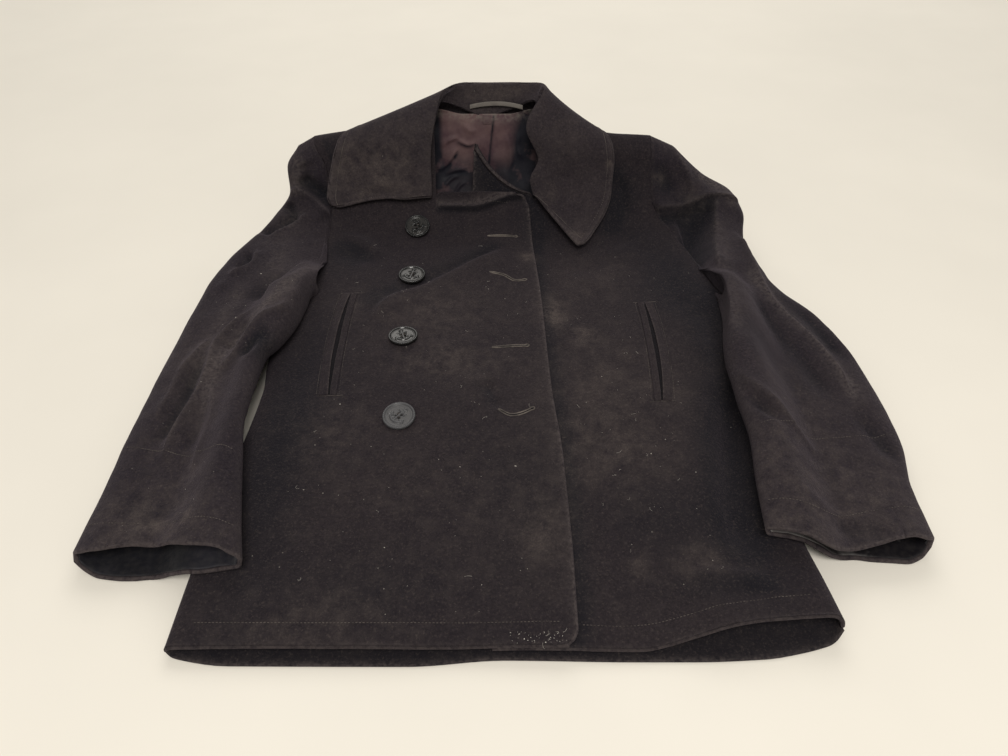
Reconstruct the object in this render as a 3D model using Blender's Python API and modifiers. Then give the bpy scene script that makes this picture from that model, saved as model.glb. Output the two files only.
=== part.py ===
"""Double-breasted wool pea coat, laid on its back with the fronts lapped, in the pieces it is sewn from.

Metres, +Z up. The hem points to -Y and the collar to +Y, so the wearer's right is at -X.
The pieces are laid out in three coordinates: x across the coat, s up the back from the hem, and n
away from the surface that the coat lies on. `lay` turns them into space: the coat is flat as far as
BEND_START, and from there its shoulder end curves up until it leans at BEND_ANGLE.
"""
import math

import bmesh
import bpy
import numpy as np
from mathutils import Matrix, Vector

# Driving sizes, in metres and radians
CLOTH = 0.0028
COLLAR_CLOTH = 0.0046
LINING = 0.0009
SEAM_GAP = 0.0003
LIE_GAP = 0.0025
LAP_STEP = 0.0042

BEND_START = 0.56
BEND_END = 0.78
BEND_ANGLE = math.radians(75.0)
CENTRE_X = 0.0120
CENTRE_Y = 0.3671

# The body of the coat
GORGE_S = 0.700
NECK_RIGHT_X = -0.098
NECK_LEFT_X = 0.046
NECK_X = (NECK_RIGHT_X + NECK_LEFT_X) / 2
BACK_NECK_DROP = 0.018
UNDERARM_S = 0.447
ARM_ROUND = 0.028
ARM_STEP = 0.0009
FOLD_ASPECT = 0.75
SEAM_LAND = 0.0012
HEM_LIFT = 0.014
NECK_HALF = (NECK_LEFT_X - NECK_RIGHT_X) / 2
NECK_CURL = 0.007
NECK_TUCK = 0.002
NECK_EASE = 0.0012
UNDERLAP_RISE = 0.068
LINING_FIRST_ROW = 11
LINING_COLUMNS = slice(7, 12)

# Collar, pockets, loop and buttons
KNEE_SHARE = 0.14
WELT_WIDTH = 0.011
WELT_CLOTH = 0.0018
POCKET_GAP = 0.004
LOOP_WIDTH = 0.006
LOOP_LENGTH = 0.066
LOOP_CLOTH = 0.0014
LOOP_S = 0.838
LOOP_N = 0.0062
BUTTON_SAG = 0.004
CUFF_TURN = 0.06
BUTTON_RADIUS = 0.0175
BUTTON_THICK = 0.0045
BUTTON_DISH = 0.0014
BUTTON_HOLE_RADIUS = 0.0015
BUTTON_HOLE_PITCH = 0.0036
BUTTON_HOLE_SIDES = 5
CUFF_LINING_ROWS = 2

# Where a sleeve comes down from the coat's front to the ground, outside and inside the side fold
SUPPORT_OUT = 0.030
SUPPORT_IN = 0.010

# Long seams of a sleeve, as shares of its width from the inner fold: the hind seam on the top side,
# the fore seam on the underside
HIND_SEAM = 0.78
FORE_SEAM = 0.28
SEAM_FLAT = 0.018

# Half-widths, thickness and drift of the body: s, wearer's right edge, left edge, depth front to back
BODY_COLUMNS = ("s", "right", "left", "deep")
BODY_ROWS = (
    (0.000, -0.280, 0.298, 0.0150),
    (0.060, -0.279, 0.292, 0.0190),
    (0.120, -0.276, 0.285, 0.0240),
    (0.200, -0.272, 0.281, 0.0290),
    (0.300, -0.269, 0.280, 0.0310),
    (0.400, -0.266, 0.284, 0.0315),
    (0.438, -0.263, 0.287, 0.0315),
    (0.470, -0.254, 0.279, 0.0315),
    (0.500, -0.248, 0.270, 0.0315),
    (0.560, -0.246, 0.256, 0.0315),
    (0.620, -0.246, 0.238, 0.0320),
    (0.668, -0.247, 0.218, 0.0330),
    (0.700, -0.248, 0.210, 0.0340),
    (0.750, -0.251, 0.208, 0.0345),
    (0.800, -0.268, 0.206, 0.0345),
    (0.860, -0.268, 0.206, 0.0345),
)

# Height of the shoulder and neck line across the back: x, s
SHOULDER_COLUMNS = ("x", "s")
SHOULDER_ROWS = (
    (-0.290, 0.790),
    (-0.268, 0.795),
    (-0.205, 0.805),
    (-0.150, 0.817),
    (-0.098, 0.831),
    (0.046, 0.831),
    (0.090, 0.817),
    (0.150, 0.799),
    (0.206, 0.796),
    (0.240, 0.790),
)

# Free edges of the two fronts: s, edge of the overlap, edge of the underlap
EDGE_COLUMNS = ("s", "overlap", "underlap")
EDGE_ROWS = (
    (0.000, 0.056, -0.010),
    (0.012, 0.063, -0.012),
    (0.070, 0.063, -0.014),
    (0.200, 0.060, -0.020),
    (0.300, 0.053, -0.026),
    (0.480, 0.047, -0.036),
    (0.600, 0.040, -0.042),
    (0.680, 0.030, -0.045),
    (0.700, 0.018, -0.045),
    (0.770, 0.018, -0.042),
)

# Hem line across the coat: x, s of the front hem, s of the back hem
HEM_COLUMNS = ("x", "front", "back")
HEM_ROWS = (
    (-0.280, 0.002, 0.002),
    (-0.271, 0.002, 0.002),
    (-0.230, 0.001, -0.008),
    (-0.080, 0.000, -0.009),
    (0.000, 0.000, -0.004),
    (0.110, 0.000, -0.003),
    (0.160, 0.008, -0.003),
    (0.220, 0.017, -0.002),
    (0.252, 0.019, 0.003),
    (0.272, 0.022, 0.022),
    (0.298, 0.022, 0.022),
)

# Sleeves, from the armhole to the cuff: inner fold x and s, outer fold x and s, depth, bow of the ring
SLEEVE_COLUMNS = ("inner_x", "inner_s", "outer_x", "outer_s", "deep", "bow")
SLEEVE_RIGHT_ROWS = (
    (-0.272, 0.434, -0.291, 0.783, 0.0370, 0.014),
    (-0.279, 0.420, -0.309, 0.752, 0.0410, 0.010),
    (-0.283, 0.402, -0.318, 0.715, 0.0430, 0.006),
    (-0.286, 0.382, -0.346, 0.668, 0.0440, 0.004),
    (-0.287, 0.358, -0.378, 0.600, 0.0440, 0.002),
    (-0.286, 0.332, -0.396, 0.520, 0.0440, 0.0),
    (-0.281, 0.294, -0.403, 0.420, 0.0430, 0.0),
    (-0.269, 0.238, -0.402, 0.310, 0.0395, 0.0),
    (-0.255, 0.180, -0.400, 0.215, 0.0345, 0.0),
    (-0.243, 0.127, -0.398, 0.142, 0.0315, 0.0),
    (-0.232, 0.080, -0.396, 0.086, 0.0290, 0.0),
)
SLEEVE_LEFT_ROWS = (
    (0.296, 0.421, 0.240, 0.782, 0.0370, 0.014),
    (0.300, 0.408, 0.282, 0.744, 0.0410, 0.010),
    (0.301, 0.392, 0.330, 0.710, 0.0430, 0.006),
    (0.300, 0.374, 0.350, 0.664, 0.0440, 0.004),
    (0.297, 0.354, 0.352, 0.600, 0.0440, 0.002),
    (0.290, 0.332, 0.376, 0.510, 0.0440, 0.0),
    (0.276, 0.304, 0.414, 0.414, 0.0430, 0.0),
    (0.261, 0.262, 0.428, 0.315, 0.0395, 0.0),
    (0.250, 0.214, 0.420, 0.230, 0.0345, 0.0),
    (0.241, 0.162, 0.409, 0.162, 0.0300, 0.0),
    (0.238, 0.116, 0.401, 0.098, 0.0250, 0.0),
)

# Collar, a row for each section from its right end round the neck to its left end:
# x, s and n of its neck seam, of its roll and of its outer edge, and n of the fall just past the roll
COLLAR_COLUMNS = (
    "neck_x", "neck_s", "neck_n", "roll_x", "roll_s", "roll_n", "knee_n", "edge_x", "edge_s", "edge_n",
)
COLLAR_ROWS = (
    (-0.110, 0.698, 0.0375, -0.103, 0.697, 0.0420, 0.0465, -0.246, 0.673, 0.0400),
    (-0.110, 0.730, 0.0380, -0.103, 0.732, 0.0440, 0.0500, -0.241, 0.722, 0.0400),
    (-0.109, 0.765, 0.0380, -0.103, 0.772, 0.0440, 0.0500, -0.235, 0.762, 0.0400),
    (-0.104, 0.800, 0.0375, -0.097, 0.812, 0.0430, 0.0480, -0.225, 0.794, 0.0400),
    (-0.094, 0.838, 0.0300, -0.086, 0.848, 0.0330, 0.0340, -0.210, 0.820, 0.0240),
    (-0.082, 0.840, 0.0180, -0.074, 0.858, 0.0180, 0.0130, -0.182, 0.814, -0.0060),
    (-0.060, 0.830, 0.0050, -0.056, 0.862, 0.0020, -0.0060, -0.120, 0.775, -0.0065),
    (-0.026, 0.818, 0.0020, -0.022, 0.863, -0.0010, -0.0060, -0.030, 0.756, -0.0065),
    (0.010, 0.828, 0.0035, 0.022, 0.863, 0.0000, -0.0060, 0.050, 0.764, -0.0065),
    (0.034, 0.840, 0.0180, 0.052, 0.862, 0.0160, 0.0110, 0.112, 0.800, -0.0060),
    (0.046, 0.838, 0.0300, 0.050, 0.850, 0.0340, 0.0340, 0.143, 0.812, 0.0240),
    (0.048, 0.804, 0.0380, 0.031, 0.812, 0.0440, 0.0490, 0.154, 0.790, 0.0420),
    (0.056, 0.768, 0.0380, 0.048, 0.770, 0.0440, 0.0490, 0.154, 0.742, 0.0400),
    (0.048, 0.735, 0.0380, 0.038, 0.737, 0.0440, 0.0490, 0.146, 0.670, 0.0400),
    (0.050, 0.704, 0.0370, 0.043, 0.703, 0.0420, 0.0470, 0.106, 0.563, 0.0400),
)

# Buttons on the overlap, from the top: x, s, tilt towards the hem in degrees, and how far the panel's
# flat facets lie under its curve there
BUTTON_ROWS = (
    (-0.122, 0.632, 10.0, 0.0008),
    (-0.121, 0.512, 3.0, 0.0004),
    (-0.120, 0.384, -3.0, 0.0004),
    (-0.111, 0.250, 9.0, 0.0014),
)

# Pockets: x at the top, s at the top, x at the bottom, s at the bottom
POCKET_RIGHT = (-0.195, 0.474, -0.192, 0.286)
POCKET_LEFT = (0.178, 0.463, 0.173, 0.281)

WOOL = (0.022, 0.019, 0.024)
COLLAR_WOOL = (0.026, 0.022, 0.027)
SATIN = (0.065, 0.032, 0.042)
CUFF_SATIN = (0.12, 0.115, 0.12)
LOOP_GREY = (0.16, 0.15, 0.15)
BUTTON_BLACK = (0.006, 0.006, 0.007)


def smooth(t):
    """0 below 0, 1 above 1, and an even ease between them."""
    t = np.clip(t, 0.0, 1.0)
    return t * t * (3.0 - 2.0 * t)


def corner(t):
    """Quarter-round profile: rises steeply from 0 and is level from 1 on."""
    t = np.clip(t, 0.0, 1.0)
    return np.sqrt(1.0 - (1.0 - t) ** 2)


def column(rows, columns, name):
    """One named column of a table."""
    return np.array([row[columns.index(name)] for row in rows])


def curve(at, known_at, known):
    """Smooth curve through a table's values that doesn't overshoot them."""
    step = np.diff(known_at)
    slope = np.diff(known) / step
    product = slope[:-1] * slope[1:]
    total = slope[:-1] + slope[1:]
    middle = np.where(product > 0, 2 * product / np.where(total == 0, 1, total), 0.0)
    tangent = np.concatenate([slope[:1], middle, slope[-1:]])
    at = np.clip(at, known_at[0], known_at[-1])
    k = np.clip(np.searchsorted(known_at, at) - 1, 0, len(step) - 1)
    t = (at - known_at[k]) / step[k]
    rise = known[k] * (1 + 2 * t) * (1 - t) ** 2 + known[k + 1] * t * t * (3 - 2 * t)
    return rise + step[k] * (tangent[k] * t * (1 - t) ** 2 - tangent[k + 1] * t * t * (1 - t))


def body(name, s):
    return curve(s, column(BODY_ROWS, BODY_COLUMNS, "s"), column(BODY_ROWS, BODY_COLUMNS, name))


def edge_x(name, s):
    return curve(s, column(EDGE_ROWS, EDGE_COLUMNS, "s"), column(EDGE_ROWS, EDGE_COLUMNS, name))


def hem_s(name, x):
    return curve(x, column(HEM_ROWS, HEM_COLUMNS, "x"), column(HEM_ROWS, HEM_COLUMNS, name))


def shoulder_s(x):
    xs = column(SHOULDER_ROWS, SHOULDER_COLUMNS, "x")
    return curve(x, xs, column(SHOULDER_ROWS, SHOULDER_COLUMNS, "s"))


def bend_table():
    """Slope, forward reach and height of the bent back, at even steps of s."""
    s = np.linspace(-0.1, 1.1, 1201)
    angle = BEND_ANGLE * smooth((s - BEND_START) / (BEND_END - BEND_START))
    step = s[1] - s[0]
    reach = np.concatenate([[0.0], np.cumsum((np.cos(angle[1:]) + np.cos(angle[:-1])) / 2) * step])
    height = np.concatenate([[0.0], np.cumsum((np.sin(angle[1:]) + np.sin(angle[:-1])) / 2) * step])
    return s, angle, reach + s[0], height


BEND_S, BEND_SLOPE, BEND_REACH, BEND_HEIGHT = bend_table()


def lay(x, s, n):
    """Points in space of layout coordinates, as an array that ends in x, y, z."""
    slope = np.interp(s, BEND_S, BEND_SLOPE)
    y = np.interp(s, BEND_S, BEND_REACH) - n * np.sin(slope) - CENTRE_Y
    z = np.interp(s, BEND_S, BEND_HEIGHT) + n * np.cos(slope)
    return np.stack(np.broadcast_arrays(x - CENTRE_X, y, z), axis=-1)


def depth(x, s):
    """Thickness of the coat's body, outer face to outer face, with the hem lifted on the left."""
    lift = smooth((x - 0.12) / 0.08) * (1.0 - smooth(s / 0.12))
    return body("deep", s) + HEM_LIFT * lift


def armhole_share(s):
    """0 below the underarm and 1 where the armhole's edge has reached the body's full depth."""
    return np.clip((s - UNDERARM_S) / ARM_ROUND, 0, 1)


def fullness(x, s):
    """0 at the side, armhole ends and shoulder seams, where the two faces meet, and 1 away from them."""
    fold = FOLD_ASPECT * depth(x, s)
    sides = corner(armhole_share(s) + (x - body("right", s)) / fold)
    sides = sides * corner(armhole_share(s) + (body("left", s) - x) / fold)
    top = corner((shoulder_s(x) - s) / ARM_ROUND)
    open_neck = smooth((NECK_HALF - np.abs(x - NECK_X)) / 0.03)
    return sides * (top + (1.0 - top) * open_neck)


def face(x, s, side, land=1.0):
    """Height n of the body's outer face: side 1 is the front, -1 the back. The land is a short upright
    step beside a seam, which keeps the edges of the two pieces there face to face."""
    half = depth(x, s) / 2
    start = SEAM_GAP / 2 + SEAM_LAND
    return half + side * (SEAM_GAP / 2 + SEAM_LAND * land + (half - start) * fullness(x, s))


def grid_faces(rows, columns, keep=None, closed=False, flip=False):
    """Quads of a grid of points, of which `keep` may leave some out."""
    quads = []
    for i in range(rows - 1):
        for j in range(columns if closed else columns - 1):
            if keep is None or keep(i, j):
                k = (j + 1) % columns
                quad = (i * columns + j, i * columns + k, (i + 1) * columns + k, (i + 1) * columns + j)
                quads.append(quad[::-1] if flip else quad)
    return quads


def material(name, colour, roughness):
    shade = bpy.data.materials.new(name)
    shade.use_nodes = True
    shader = shade.node_tree.nodes["Principled BSDF"]
    shader.inputs["Base Color"].default_value = (*colour, 1.0)
    shader.inputs["Roughness"].default_value = roughness
    shader.inputs["Metallic"].default_value = 0.0
    return shade


def add_object(name, mesh, shade):
    part = bpy.data.objects.new(name, mesh)
    part.data.materials.append(shade)
    bpy.data.collections["pea_coat"].objects.link(part)
    return part


def add_sheet(name, points, quads, shade, cloth, offset=-1.0):
    """Object of an open surface with a wall: inside it at offset -1, outside at 1, on both sides at 0."""
    mesh = bpy.data.meshes.new(name)
    mesh.from_pydata(points.reshape(-1, 3).tolist(), [], quads)
    build = bmesh.new()
    build.from_mesh(mesh)
    bmesh.ops.delete(build, geom=[v for v in build.verts if not v.link_faces], context="VERTS")
    build.to_mesh(mesh)
    build.free()
    mesh.shade_smooth()
    sheet = add_object(name, mesh, shade)
    wall = sheet.modifiers.new("Wall", "SOLIDIFY")
    wall.thickness = cloth
    wall.offset = offset
    return sheet


# Rows of the body's panels from the hem to the gorge and from there to the shoulder, and the columns
# round a side's fold, in shares of the fold's width
LOWER_S = np.array(
    [0, 0.03, 0.08, 0.15, 0.25, 0.35, 0.438, 0.455, 0.48, 0.52, 0.56, 0.595, 0.63, 0.665, 0.70]
)
LOWER_STEPS = LOWER_S / GORGE_S
UPPER_STEPS = np.array([0.35, 0.65, 0.84, 0.95, 1.0, 1.0])
SIDE_STEPS = np.array([0.0, 0.0, 0.09, 0.34, 0.75, 1.2])
PANEL_S = np.concatenate([LOWER_S, GORGE_S + (0.80 - GORGE_S) * UPPER_STEPS])
GORGE_ROW = len(LOWER_STEPS) - 1
ARM_ROW = 6
ARM_SHARES = (PANEL_S[ARM_ROW:-1] - PANEL_S[ARM_ROW]) / (PANEL_S[-1] - PANEL_S[ARM_ROW])


def side_edge(name):
    """x and s of the panels' rows at a side: the side seam, then the armhole, as far as the shoulder."""
    hem = hem_s("front", np.array(body(name, 0.0)))
    x = body(name, PANEL_S)
    for _ in range(3):
        lone = x[:, None]
        s = panel_heights(lone, np.full_like(lone, hem), np.full_like(lone, GORGE_S), shoulder_s(lone))[:, 0]
        x = body(name, s)
    return x, s


def side_columns(x, s, inward):
    """x of the columns that follow a side's round fold, from the seam inwards."""
    fold = (FOLD_ASPECT * depth(x, s))[:, None]
    columns = x[:, None] + inward * fold * SIDE_STEPS
    columns[:, 1] += inward * SEAM_LAND * smooth(2 * armhole_share(s) - 1)
    return columns


def between(start, end, count):
    """Columns spaced evenly from `start` to `end`, without the first."""
    return start[:, None] + (end - start)[:, None] * np.linspace(0, 1, count + 1)[1:]


def panel_heights(x, hem, gorge, top):
    """s of every point of a panel: rows run from the hem to the gorge, and on to the panel's top."""
    s = gorge + (top - gorge) * np.concatenate([0 * LOWER_STEPS, UPPER_STEPS])[:, None]
    low = slice(0, GORGE_ROW + 1)
    s[low] = hem[low] + (gorge[low] - hem[low]) * LOWER_STEPS[:, None]
    return s


def front(name, over, shade):
    """A front, from its side seam and armhole to its free edge, and from the hem to the shoulder."""
    inward = 1.0 if over else -1.0
    side, side_s = side_edge("right" if over else "left")
    neck = np.full_like(side, NECK_RIGHT_X if over else NECK_LEFT_X)
    edge = edge_x("overlap" if over else "underlap", PANEL_S)
    near = side_columns(side, side_s, inward)
    x = np.concatenate([near, between(near[:, -1], neck, 4), between(neck, edge, 3)], axis=1)
    neck_column = len(SIDE_STEPS) + 3
    s = panel_heights(x, hem_s("front", x), gorge_s(x, over), shoulder_s(x))
    land = np.ones_like(x)
    land[:, 0] = armhole_share(side_s)
    land[-1] = 0.0
    n = face(x, s, 1.0, land)
    curl = smooth((s - GORGE_S) / 0.03 + 1) * smooth(inward * (x - neck[:, None]) / 0.03)
    if over:
        n += NECK_CURL * curl
    else:
        lap = smooth((np.abs(x - side[:, None]) - 0.008) / 0.05)
        n -= LAP_STEP * lap * fullness(x, s) + NECK_TUCK * curl
    quads = grid_faces(*x.shape, lambda i, j: i < GORGE_ROW or j < neck_column, flip=not over)
    return add_sheet(name, lay(x, s, n), quads, shade, CLOTH)


def gorge_s(x, over):
    """s of a front's top edge between the collar and the free edge. The underlap's corner stands up."""
    if over:
        return np.full_like(x, GORGE_S)
    return GORGE_S + UNDERLAP_RISE * np.clip((NECK_LEFT_X - x) / 0.088, 0, 1)


def back_points():
    """Layout points of the back, from side to side and from the hem to the shoulders and the neck."""
    right, right_s = side_edge("right")
    left, left_s = side_edge("left")
    near = side_columns(right, right_s, 1.0)
    far = side_columns(left, left_s, -1.0)
    x = np.concatenate([near, between(near[:, -1], far[:, -1], 8), far[:, -2::-1]], axis=1)
    in_neck = smooth((NECK_HALF - np.abs(x - NECK_X)) / 0.04)
    top = shoulder_s(x) - BACK_NECK_DROP * in_neck
    s = panel_heights(x, hem_s("back", x), np.full_like(x, GORGE_S), top)
    s[-1] += SEAM_LAND * in_neck[-1]
    land = np.ones_like(x)
    land[:, 0] = armhole_share(right_s)
    land[:, -1] = armhole_share(left_s)
    land[-1] = in_neck[-1]
    n = face(x, s, -1.0, land)
    n[-2:] -= NECK_EASE * smooth(1 - np.abs(np.abs(x[-2:] - NECK_X) - NECK_HALF) / 0.05)
    return np.stack([x, s, n], axis=-1)


def back(shade):
    """The back, whose flat middle is what the coat lies on."""
    points = back_points()
    quads = grid_faces(*points.shape[:2], flip=True)
    return add_sheet("back", lay(*np.moveaxis(points, -1, 0)), quads, shade, CLOTH)


def support(x, s, right):
    """Height that a sleeve lies on: the coat's front beside it, running down to the ground outside it."""
    side = body("right" if right else "left", s)
    outside = (side - x) if right else (x - side)
    share = smooth((SUPPORT_OUT - outside) / (SUPPORT_OUT + SUPPORT_IN))
    below = smooth((UNDERARM_S + 0.012 - s) / 0.025)
    return (depth(x, s) + LIE_GAP) * share * below


def arm_edge(right, side):
    """Layout points of the armhole's edge, from the underarm to the shoulder.

    They are the front's for side 1 and the back's for side -1.
    """
    x, s = side_edge("right" if right else "left")
    n = face(x, s, side, armhole_share(s))
    points = np.stack([x, s, n], axis=-1)[ARM_ROW:-1]
    points[[0, -1], 2] = depth(points[[0, -1], 0], points[[0, -1], 1]) / 2
    return points


def ring_columns():
    """Shares of a sleeve's width, and side of it, for the points round one ring. Three points lie in
    line at each long seam, so that the two pieces' edges there face each other squarely."""
    triple = np.array([-SEAM_FLAT, 0.0, SEAM_FLAT])
    top = np.sort(np.concatenate([ARM_SHARES, HIND_SEAM + triple]))
    under = np.sort(np.concatenate([ARM_SHARES[1:-1], FORE_SEAM + triple]))[::-1]
    share = np.concatenate([top, under])
    side = np.concatenate([np.ones(len(top)), -np.ones(len(under))])
    return share, side


def sleeve_points(right):
    """Layout points of a whole sleeve: the armhole's ring, then a ring for each row of its table."""
    share, side = ring_columns()
    rows = SLEEVE_RIGHT_ROWS if right else SLEEVE_LEFT_ROWS
    out = -1.0 if right else 1.0
    inner_x, inner_s, outer_x, outer_s, deep, bow = (
        column(rows, SLEEVE_COLUMNS, name)[:, None] for name in SLEEVE_COLUMNS
    )
    x = inner_x + (outer_x - inner_x) * share - out * bow * 4 * share * (1 - share)
    s = inner_s + (outer_s - inner_s) * share
    fold = np.minimum(share, 1 - share) * np.hypot(outer_x - inner_x, outer_s - inner_s)
    n = support(x, s, right) + deep / 2 * (1 + side * corner(fold / ARM_ROUND))
    rings = np.stack([x, s, n], axis=-1)
    arm = np.empty((len(share), 3))
    for front_side in (1.0, -1.0):
        edge = arm_edge(right, front_side)
        here = side == front_side
        arm[here] = np.stack([np.interp(share[here], ARM_SHARES, edge[:, k]) for k in range(3)], axis=-1)
    arm[:, 0] += out * ARM_STEP
    points = np.concatenate([arm[None], rings])
    for seam in seam_columns():
        points[1:, seam] = (points[1:, seam - 1] + points[1:, seam + 1]) / 2
    return points


def seam_columns():
    """Ring columns of the hind seam and of the fore seam."""
    share, side = ring_columns()
    hind = int(np.argmin(np.abs(share - HIND_SEAM) + 9 * (side < 0)))
    fore = int(np.argmin(np.abs(share - FORE_SEAM) + 9 * (side > 0)))
    return hind, fore


def sleeve(name, right, upper, shade):
    """The upper or the under piece of a sleeve, which meet at the hind seam and at the fore seam."""
    points = sleeve_points(right)
    hind, fore = seam_columns()
    count = points.shape[1]
    first, last = (fore, hind + count) if upper else (hind, fore)
    piece = points[:, np.arange(first, last + 1) % count].copy()
    for end, inner in ((0, 1), (-1, -2)):
        step = piece[:, inner] - piece[:, end]
        piece[:, end] += step * 1.4 * SEAM_GAP / np.linalg.norm(step, axis=-1, keepdims=True)
    quads = grid_faces(*piece.shape[:2], flip=not right)
    return add_sheet(name, lay(*np.moveaxis(piece, -1, 0)), quads, shade, CLOTH)


def cuff_lining(name, right, shade):
    """Lining just inside a cuff, all round, its own wall set in from the sleeve's."""
    points = sleeve_points(right)[-CUFF_LINING_ROWS:]
    points[-1] += (points[-2] - points[-1]) * CUFF_TURN
    quads = grid_faces(*points.shape[:2], closed=True, flip=not right)
    inside = -1.0 - 2 * (CLOTH + 3 * SEAM_GAP) / LINING
    return add_sheet(name, lay(*np.moveaxis(points, -1, 0)), quads, shade, LINING, offset=inside)


def collar(shade):
    """The collar: every section climbs the stand from the neck seam, rolls over and falls to its edge."""
    ax, as_, an, bx, bs, bn, kn, ex, es, en = (
        column(COLLAR_ROWS, COLLAR_COLUMNS, name) for name in COLLAR_COLUMNS
    )
    neck = np.stack([ax, as_, an], axis=-1)
    roll = np.stack([bx, bs, bn], axis=-1)
    edge = np.stack([ex, es, en], axis=-1)
    knee = roll + (edge - roll) * KNEE_SHARE
    knee[:, 2] = kn
    middle = (knee + edge) / 2
    path = np.stack([neck, (neck + roll) / 2, roll, knee, middle, edge])
    known = np.array([0.0, 0.8, 1.6, 2.4, 3.7, 5.0])
    at = np.array([0.0, 0.8, 1.3, 1.6, 1.85, 2.1, 2.4, 2.9, 3.5, 4.2, 5.0])
    points = catmull(at, known, path)
    quads = grid_faces(*points.shape[:2])
    return add_sheet("collar", lay(*np.moveaxis(points, -1, 0)), quads, shade, COLLAR_CLOTH, offset=0.0)


def catmull(at, known_at, known):
    """Smooth curve through points, its slope at each point that of the line between its neighbours."""
    tangent = np.empty_like(known)
    span = (known_at[2:] - known_at[:-2])[:, None, None]
    tangent[1:-1] = (known[2:] - known[:-2]) / span
    tangent[0] = (known[1] - known[0]) / (known_at[1] - known_at[0])
    tangent[-1] = (known[-1] - known[-2]) / (known_at[-1] - known_at[-2])
    k = np.clip(np.searchsorted(known_at, at) - 1, 0, len(known_at) - 2)
    step = (known_at[k + 1] - known_at[k])[:, None, None]
    t = (at - known_at[k])[:, None, None] / step
    near = known[k] * (1 + 2 * t) * (1 - t) ** 2 + step * tangent[k] * t * (1 - t) ** 2
    return near + known[k + 1] * t * t * (3 - 2 * t) - step * tangent[k + 1] * t * t * (1 - t)


def back_lining(shade):
    """Lining on the inside of the back, as far as the neck shows it, made from the back's own points."""
    points = back_points()[LINING_FIRST_ROW:-2, LINING_COLUMNS]
    inside = -1.0 - 2 * (CLOTH + 3 * SEAM_GAP) / LINING
    quads = grid_faces(*points.shape[:2], flip=True)
    return add_sheet("back_lining", lay(*np.moveaxis(points, -1, 0)), quads, shade, LINING, offset=inside)


def hanger_loop(shade):
    """Cloth strip across the back of the neck, bowed a little towards the collar."""
    along = np.linspace(-1, 1, 9)[:, None]
    across = np.linspace(-0.5, 0.5, 2)
    x = NECK_X + 0.012 + along * LOOP_LENGTH / 2 + 0 * across
    s = LOOP_S + 0.003 * (1 - along**2) + across * LOOP_WIDTH
    n = LOOP_N + 0.006 * np.clip(along, 0, 1) ** 2 + 0 * x
    quads = grid_faces(*x.shape, flip=True)
    return add_sheet("hanger_loop", lay(x, s, n), quads, shade, LOOP_CLOTH, offset=1.0)


def welt(name, pocket, outer, right, shade):
    """One of the two narrow strips that edge an upright pocket."""
    x0, s0, x1, s1 = pocket
    share = np.linspace(0, 1, 8)[:, None]
    across = np.linspace(0, 1, 3)
    x = x0 + (x1 - x0) * share + outer * (POCKET_GAP / 2 + WELT_WIDTH * across)
    s = s0 + (s1 - s0) * share + 0 * x
    n = face(x, s, 1.0) + 2 * SEAM_GAP
    if not right:
        n -= LAP_STEP
    quads = grid_faces(*x.shape, flip=outer > 0)
    return add_sheet(name, lay(x, s, n), quads, shade, WELT_CLOTH, offset=1.0)


def button_mesh():
    """A turned disc with a raised rim and four holes through it."""
    r, t, dish = BUTTON_RADIUS, BUTTON_THICK, BUTTON_DISH
    profile = bpy.data.meshes.new("button_profile")
    outline = (
        (0.0, t - dish), (r - 0.0040, t - dish), (r - 0.0030, t), (r - 0.0010, t),
        (r, t - 0.0012), (r - 0.0006, 0.0010), (r - 0.0040, 0.0), (0.0, 0.0),
    )
    points = [(x, 0.0, z) for x, z in outline]
    profile.from_pydata(points, [(i, i + 1) for i in range(len(points) - 1)], [])
    disc = bpy.data.objects.new("button_disc", profile)
    bpy.data.collections["pea_coat"].objects.link(disc)
    turn = disc.modifiers.new("Turn", "SCREW")
    turn.steps = turn.render_steps = 14
    turn.use_merge_vertices = True
    turn.merge_threshold = 0.00002
    for i in range(4):
        angle = math.pi / 4 + i * math.pi / 2
        bpy.ops.mesh.primitive_cylinder_add(
            vertices=BUTTON_HOLE_SIDES,
            radius=BUTTON_HOLE_RADIUS,
            depth=4 * t,
            location=(BUTTON_HOLE_PITCH * math.cos(angle), BUTTON_HOLE_PITCH * math.sin(angle), 0.0),
        )
        cutter = bpy.context.active_object
        cutter.name = f"hole_cutter_{i}"
        cutter.hide_render = True
        cutter.display_type = "WIRE"
        cutter.users_collection[0].objects.unlink(cutter)
        bpy.data.collections["cutters"].objects.link(cutter)
        hole = disc.modifiers.new(f"Hole {i}", "BOOLEAN")
        hole.operation = "DIFFERENCE"
        hole.solver = "EXACT"
        hole.object = cutter
    bpy.context.view_layer.update()
    cut = disc.evaluated_get(bpy.context.evaluated_depsgraph_get())
    mesh = bpy.data.meshes.new_from_object(cut)
    bpy.data.objects.remove(disc)
    mesh.set_sharp_from_angle(angle=math.radians(35))
    return mesh


def buttons(shade):
    """The four buttons, each square to the cloth under it apart from the tilt of its loose thread."""
    mesh = button_mesh()
    for i, (x, s, tilt, sink) in enumerate(BUTTON_ROWS, 1):
        button = add_object(f"button_{i}", mesh.copy(), shade)
        slope = float(np.interp(s, BEND_S, BEND_SLOPE))
        turn = Matrix.Rotation(slope + math.radians(tilt), 4, "X")
        tipped = BUTTON_RADIUS * abs(math.sin(math.radians(tilt)))
        rise = 2 * SEAM_GAP - sink + tipped + BUTTON_SAG * math.sin(slope)
        base = Vector(lay(x, s, float(face(np.array(x), np.array(s), 1.0)) + rise).tolist())
        button.matrix_world = Matrix.Translation(base) @ turn


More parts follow.
